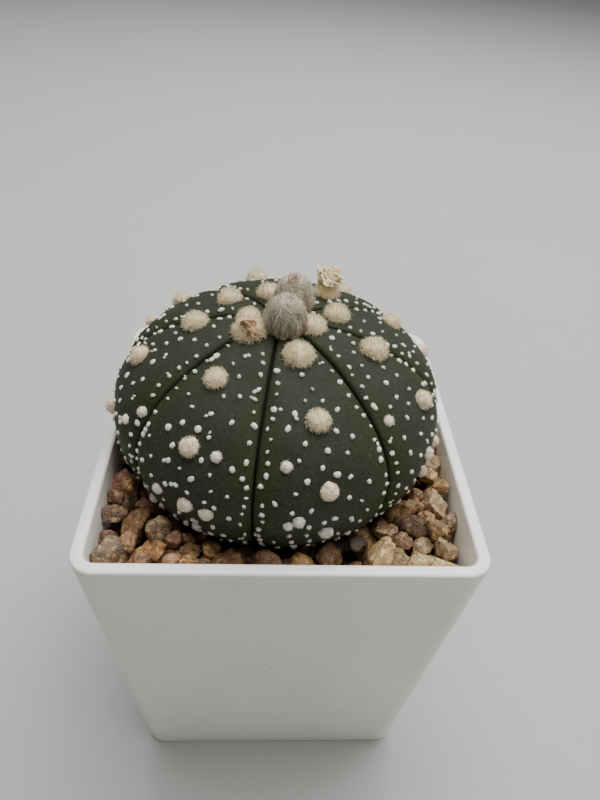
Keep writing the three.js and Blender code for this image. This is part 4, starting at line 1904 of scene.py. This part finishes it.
@dataclass
class GritDressing:
    """Crushed granite: chips dropped one by one to where they lie lowest, on a dark fine bed."""

    pot: Pot
    globe: StarGlobe
    seed: int = 733
    bottom: float = 66.3
    bed_top: float = 69.6
    middle_limit: float = 74.5
    front_rise: float = 2.0
    right_rise: float = 3.0
    top_limit: float = 77.8
    smallest: float = 1.6
    largest: float = 3.9
    small_bias: float = 1.1
    tries: int = 34
    count: int = 460
    packing: float = 0.86
    bedding: float = 0.5
    wall_gap: float = 0.6
    wall_play: float = 0.05
    clearance: float = 0.8
    hidden_depth: float = 1.5
    cuts: int = 8
    cut_depths: Range = (0.5, 0.88)
    cut_flatness: float = 0.92
    lengths: Range = (1.0, 1.4)
    widths: Range = (0.85, 1.05)
    heights: Range = (0.7, 0.95)
    crystal: float = 0.9
    crystal_relief: float = 0.1
    swell: float = 1.18
    bump: float = 0.2
    fine_bump: float = 0.09
    sorting: float = 0.3
    sorting_reach: float = 30.0
    bed_cells: int = 72
    bed_lumps: float = 0.5
    bed_lump_size: float = 1.3
    bed_gap: float = 0.1
    bed_depth: float = 1.6
    bed_under: float = 1.5
    chip_finish: Finish = field(default_factory=lambda: CrushedGranite("crushed_granite"))
    bed_finish: Finish = field(default_factory=lambda: PottingMix("fine_dark_grit"))

    def resting_height(self, stones: list[Stone], x: float, y: float, radius: float) -> float:
        """Work out how high a chip's middle lies, on the bed and the chips below it.

        Args:
            stones: The chips that lie there already.
            x: The place from left to right.
            y: The place from front to back.
            radius: Half the chip's size.

        Returns:
            The height.
        """
        height = self.bed_top + self.bedding * radius
        for stone in stones:
            reach = (stone.radius + radius) * self.packing
            flat = (stone.at.x - x) ** 2 + (stone.at.y - y) ** 2
            if flat < reach * reach:
                height = max(height, stone.at.z + math.sqrt(reach * reach - flat))
        return height

    def fits(self, x: float, y: float, z: float, radius: float) -> bool:
        """Return whether a chip there is clear of the plant."""
        away = math.hypot(x - self.globe.x, y - self.globe.y)
        return away > self.globe.radius_at(z + 0.5 * radius) + self.clearance * radius

    def heap(self, x: float, y: float) -> float:
        """Return how high a chip's middle may lie: higher towards the front and the right.

        Args:
            x: The place from left to right.
            y: The place from front to back.

        Returns:
            The height.
        """
        half_x, half_y = self.pot.half_inside(self.bed_top)
        front = self.front_rise * smooth(half_y / 3, -half_y, y)
        return self.middle_limit + front + self.right_rise * smooth(-half_x, half_x, x)

    def drop(self) -> list[Stone]:
        """Drop the chips, each where it lies lowest under the heap, of a few places tried.

        Returns:
            The chips that found a place.
        """
        draw = Draw(self.seed)
        stones: list[Stone] = []
        half_x, half_y = self.pot.half_inside(self.bed_top)
        for _ in range(self.count):
            radius = lerp(self.smallest, self.largest, draw.share() ** self.small_bias)
            edge = self.wall_gap * radius
            best: Stone | None = None
            lowest = 0.0
            for _ in range(self.tries):
                x, y = draw.spread(half_x - edge), draw.spread(half_y - edge)
                z = self.resting_height(stones, x, y, radius)
                above = z - min(self.heap(x, y), self.top_limit - self.clearance * radius)
                if above < lowest and self.fits(x, y, z, radius):
                    best, lowest = Stone(Vector((x, y, z)), radius), above
            if best:
                stones.append(best)
        return stones

    def chip(self, bm: BMesh, stone: Stone, draw: Draw) -> None:
        """Add one chip: a ball broken flat on several sides and weathered between its crystals.

        Args:
            bm: The dressing's mesh, with its chip layer.
            stone: The chip's place and size.
            draw: The dressing's random numbers.
        """
        chip = bmesh.new()
        layer = chip.verts.layers.float_vector.new("chip")
        seen = stone.at.z > self.bed_top + self.hidden_depth
        verts = bmesh.ops.create_icosphere(chip, subdivisions=4 if seen else 3, radius=1.0)["verts"]
        faces = [(draw.direction(), draw.between(*self.cut_depths)) for _ in range(self.cuts)]
        kind = Vector((draw.share(), draw.share(), draw.share()))
        kind.x = lerp(kind.x, smooth(-self.sorting_reach, self.sorting_reach, stone.at.x), self.sorting)
        seed = draw.direction() * 40
        grain = stone.radius / self.crystal
        for vert in verts:
            # Each break takes most of what stands out past it.
            for way, depth in faces:
                over = vert.co.dot(way) - depth
                if over > 0:
                    vert.co -= way * over * self.cut_flatness
            knobs = noise.voronoi(vert.co * grain + seed)[0][0]
            rough = noise.noise(vert.co * 2 + seed) * self.bump
            rough += noise.noise(vert.co * 4.5 + seed) * self.fine_bump
            vert.co *= self.swell + rough - self.crystal_relief * knobs
            vert[layer] = kind
        size = Vector([draw.between(*sizes) for sizes in (self.lengths, self.widths, self.heights)])
        size *= stone.radius
        turn = Quaternion(draw.direction(), draw.between(0, math.tau)).to_matrix().to_4x4()
        place = Matrix.Translation(stone.at) @ turn @ Matrix.Diagonal((*size, 1.0))
        bmesh.ops.transform(chip, matrix=place, verts=verts)
        self.keep_inside(verts)
        add_shape(bm, chip)

    def keep_inside(self, verts: list[BMVert]) -> None:
        """Flatten whatever of a chip would pass the pot's wall or the height limit.

        Args:
            verts: The chip's points.
        """
        play = self.wall_play
        for vert in verts:
            half_x, half_y = self.pot.half_inside(vert.co.z)
            vert.co.x = min(max(vert.co.x, play - half_x), half_x - play)
            vert.co.y = min(max(vert.co.y, play - half_y), half_y - play)
            vert.co.z = min(max(vert.co.z, self.bottom), self.top_limit)

    def build(self) -> None:
        """Make the chips, in a piece for each half of the pot, and the bed."""
        draw = Draw(self.seed + 1)
        material = self.chip_finish.build()
        stones = self.drop()
        halves = {
            "granite_chips_left": [s for s in stones if s.at.x < 0],
            "granite_chips_right": [s for s in stones if s.at.x >= 0],
        }
        for name, half in halves.items():
            bm = bmesh.new()
            bm.verts.layers.float_vector.new("chip")
            for stone in half:
                self.chip(bm, stone, draw)
            log.info("%s: %d chips", name, len(half))
            finish_piece(bm, name, material, Slot.GRANITE, Node.GRIT)
        self.bed()

    def bed(self) -> None:
        """Make the dark fine bed under the chips, with the hollow that the plant stands in."""
        bm = bmesh.new()
        bmesh.ops.create_grid(bm, x_segments=self.bed_cells, y_segments=self.bed_cells, size=1.0)
        half_x, half_y = self.pot.half_inside(self.bottom)
        for vert in bm.verts:
            x, y = vert.co.x * (half_x - self.bed_gap), vert.co.y * (half_y - self.bed_gap)
            lump = self.bed_lumps * noise.noise(Vector((x, y, 0)) / self.bed_lump_size)
            vert.co = Vector((x, y, self.bed_top + lump))
        axis = Vector((self.globe.x, self.globe.y, 0))
        hollow = self.globe.radius_at(self.bed_top) - self.bed_under
        inner = [f for f in bm.faces if (f.calc_center_median() - axis).xy.length < hollow]
        bmesh.ops.delete(bm, geom=inner, context="FACES")
        bmesh.ops.solidify(bm, geom=bm.faces, thickness=-self.bed_depth)
        bmesh.ops.recalc_face_normals(bm, faces=bm.faces)
        finish_piece(bm, "grit_bed", self.bed_finish.build(), Slot.GRANITE, Node.GRIT)


# ---- Studio ----


@dataclass(frozen=True)
class SoftLight:
    """A square area light: its name, its place and side in metres, and its power in watts."""

    name: str
    at: tuple[float, float, float]
    size: float
    power: float


@dataclass
class Studio:
    """The plain pale floor, the soft lights and the camera at the photograph's angle."""

    # The camera was solved from the corners and edges of the pot in the photograph.
    camera_at: Vector = field(default_factory=lambda: Vector((-4.175, -94.808, 167.306)))
    right: Vector = field(default_factory=lambda: Vector((0.99793652, -0.02884069, 0.05736645)))
    up: Vector = field(default_factory=lambda: Vector((-0.02513174, 0.64671326, 0.76231906)))
    lens: float = 28.28
    sensor_width: float = 36.0
    clip_start: float = 0.005
    floor_size: float = 6.0
    floor_finish: Finish = field(default_factory=lambda: PaintedBoard("painted_board"))
    lights: tuple[SoftLight, ...] = (
        SoftLight("ceiling_light", (0.15, 0.27, 0.9), 1.0, 18.8),
        SoftLight("front_fill", (0.75, -0.6, 0.6), 0.6, 1.3),
    )
    aim: tuple[float, float, float] = (0.0, 0.0, 0.06)
    sky: str = "dfe3e6"
    sky_strength: float = 0.23

    def camera(self) -> None:
        """Make the camera."""
        data = bpy.data.cameras.new("camera")
        data.lens = self.lens
        data.sensor_width = self.sensor_width
        data.clip_start = self.clip_start
        camera = bpy.data.objects.new("camera", data)
        bpy.context.scene.collection.objects.link(camera)
        back = self.right.cross(self.up)
        turn = Matrix((self.right, self.up, back)).transposed().to_4x4()
        camera.matrix_world = Matrix.Translation(self.camera_at * MM) @ turn
        bpy.context.scene.camera = camera

    def hang(self, light: SoftLight) -> None:
        """Make a light that faces the plant.

        Args:
            light: What the light is like.
        """
        data = bpy.data.lights.new(light.name, "AREA")
        data.shape = "SQUARE"
        data.size = light.size
        data.energy = light.power
        lamp = bpy.data.objects.new(light.name, data)
        bpy.context.scene.collection.objects.link(lamp)
        lamp.location = light.at
        lamp.rotation_mode = "QUATERNION"
        lamp.rotation_quaternion = (Vector(self.aim) - Vector(light.at)).to_track_quat("-Z", "Y")

    def floor(self) -> None:
        """Make the floor."""
        bm = bmesh.new()
        bmesh.ops.create_grid(bm, x_segments=1, y_segments=1, size=self.floor_size)
        mesh = bpy.data.meshes.new("floor")
        bm.to_mesh(mesh)
        bm.free()
        mesh.materials.append(self.floor_finish.build())
        floor = bpy.data.objects.new("floor", mesh)
        bpy.context.scene.collection.objects.link(floor)

    def build(self) -> None:
        """Make the studio."""
        self.camera()
        self.floor()
        for light in self.lights:
            self.hang(light)
        world = bpy.data.worlds.new("world")
        world.use_nodes = True
        background = world.node_tree.nodes["Background"]
        background.inputs["Color"].default_value = linear(self.sky)
        background.inputs["Strength"].default_value = self.sky_strength
        bpy.context.scene.world = world


# ---- The whole plant ----


@dataclass
class PottedStarCactus:
    """The whole object, piece by piece."""

    pot: Pot = field(default_factory=Pot)
    globe: StarGlobe = field(default_factory=StarGlobe)
    mix_finish: Finish = field(default_factory=lambda: PottingMix("packed_peat_mix"))
    bare_round_areole: float = 0.9
    bare_round_bud: float = 1.1
    flower_azimuth: float = 411.0
    flower_latitude: float = 65.5
    flower_pad: float = 5.5

    def areoles(self) -> list[list[Areole]]:
        """Set the areoles on the skin.

        Returns:
            The areoles, rib by rib.
        """
        ribs = []
        for rib, row in enumerate(AREOLES):
            middle = self.globe.rib_middle(rib)
            ribs.append([Areole(self.globe.spot(middle + off, at), width) for at, off, width in row])
        return ribs

    def dress_mix(self) -> None:
        """Give the potting mix, whose CAD shape stays, its finish."""
        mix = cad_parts[Node.MIX.value]
        material = self.mix_finish.build()
        for slot in mix.material_slots:
            slot.material = material
        if not mix.material_slots:
            mix.data.materials.append(material)

    def buds(self) -> list[WoollyBud]:
        """Set the sizes and the shared coat of the two buds.

        Returns:
            The front bud and the rear one.
        """
        coat = PlantWool(
            "combed_bud_wool", young="fff5dc", grown="fff0bc", old="fff0bc", heart="cbbb95", root="80714f",
            shaded=0.74, old_height=102.0, grown_height=104.6, young_height=107.2, sheen=0.8,
        ).build()
        front = WoollyBud(
            "front_bud", Node.FRONT_BUD, x=-0.5, y=0.25, base=102.6, radius=3.75, length=8.5,
            lean=16, twist=70, whorl=Vector((0.19, -2.3, 110.7)), hairs=2500, seed=311, finish=coat,
        )
        rear = WoollyBud(
            "rear_bud", Node.REAR_BUD, x=1.2, y=7.65, base=102.4, radius=3.6, length=8.2,
            lean=12, twist=-40, whorl=Vector((0.9, 5.9, 110.5)), hairs=2100, seed=911, finish=coat,
        )
        return [front, rear]

    def flowers(self, buds: list[WoollyBud]) -> None:
        """Make the buds, their tips, and the two spent flowers with their wool.

        Args:
            buds: The front bud and the rear one.
        """
        for bud in buds:
            bud.build()
        red = DriedTissue(
            "reddish_bud_leaf_tips", paper="c67b70", vein="a5564e", stain="8a443d"
        ).build()
        pale = DriedTissue(
            "pale_bud_leaf_tips", paper="b39a8a", vein="94766a", stain="7a5c52"
        ).build()
        front, rear = buds
        BudTip("rear_bud_tips", Node.REAR_BUD, rear.whorl, Vector((0, -0.35, 1)), red).build()
        BudTip(
            "front_bud_tips", Node.FRONT_BUD, front.whorl, Vector((0, -0.4, 1)), pale,
            count=40, spread=0.7, reach=0.9,
        ).build()
        DriedFlower().build()
        amber = PlantWool("amber_flower_wool", young="fff5cc", heart="fad890", root="e2b468").build()
        under = Areole(self.globe.spot(self.flower_azimuth, self.flower_latitude), self.flower_pad)
        AreoleWool("dried_flower_wool", [under], amber, seed=4021, height_share=0.76).build()
        FlowerRest().build()

    def build(self) -> None:
        """Make every piece."""
        self.pot.build()
        self.dress_mix()
        areoles = self.areoles()
        flat = [areole for row in areoles for areole in row]
        CactusSkin(self.globe, flat).build()
        wool = PlantWool("felted_areole_wool").build()
        for rib, row in enumerate(areoles):
            large = [areole for areole in row if areole.width > SMALL_TUFT]
            AreoleWool(f"areole_wool_rib_{rib + 1}", large, wool, seed=9001 + 17 * rib).build()
        buds = self.buds()
        keep_out = [(a.spot.point, a.width / 2 + self.bare_round_areole) for a in flat]
        for bud in buds:
            keep_out.append((Vector((bud.x, bud.y, bud.base)), bud.radius + self.bare_round_bud))
        white = PlantWool(
            "white_fleck_wool", young="ebe8dc", grown="ebe8dc", old="ebe8dc", heart="c8c1b0",
            root="aaa18c", shaded=0.36,
        ).build()
        Flecks(self.globe, keep_out, white).build()
        small = [areole for areole in flat if areole.width <= SMALL_TUFT]
        cotton = PlantWool(
            "white_cottony_wool", young="fff6e2", grown="fdf3e4", heart="ead8b8", root="c9b48e"
        ).build()
        AreoleWool("small_white_tufts", small, cotton, seed=6007, felt_share=0.3).build()
        self.flowers(buds)
        Lint(white).build()
        GritDressing(self.pot, self.globe).build()


def main() -> None:
    """Build the studio and the object."""
    noise.seed_set(NOISE_SEED)
    logging.basicConfig(level=logging.INFO, format="%(name)s: %(message)s")
    Studio().build()
    PottedStarCactus().build()


if __name__ == "__main__":
    main()
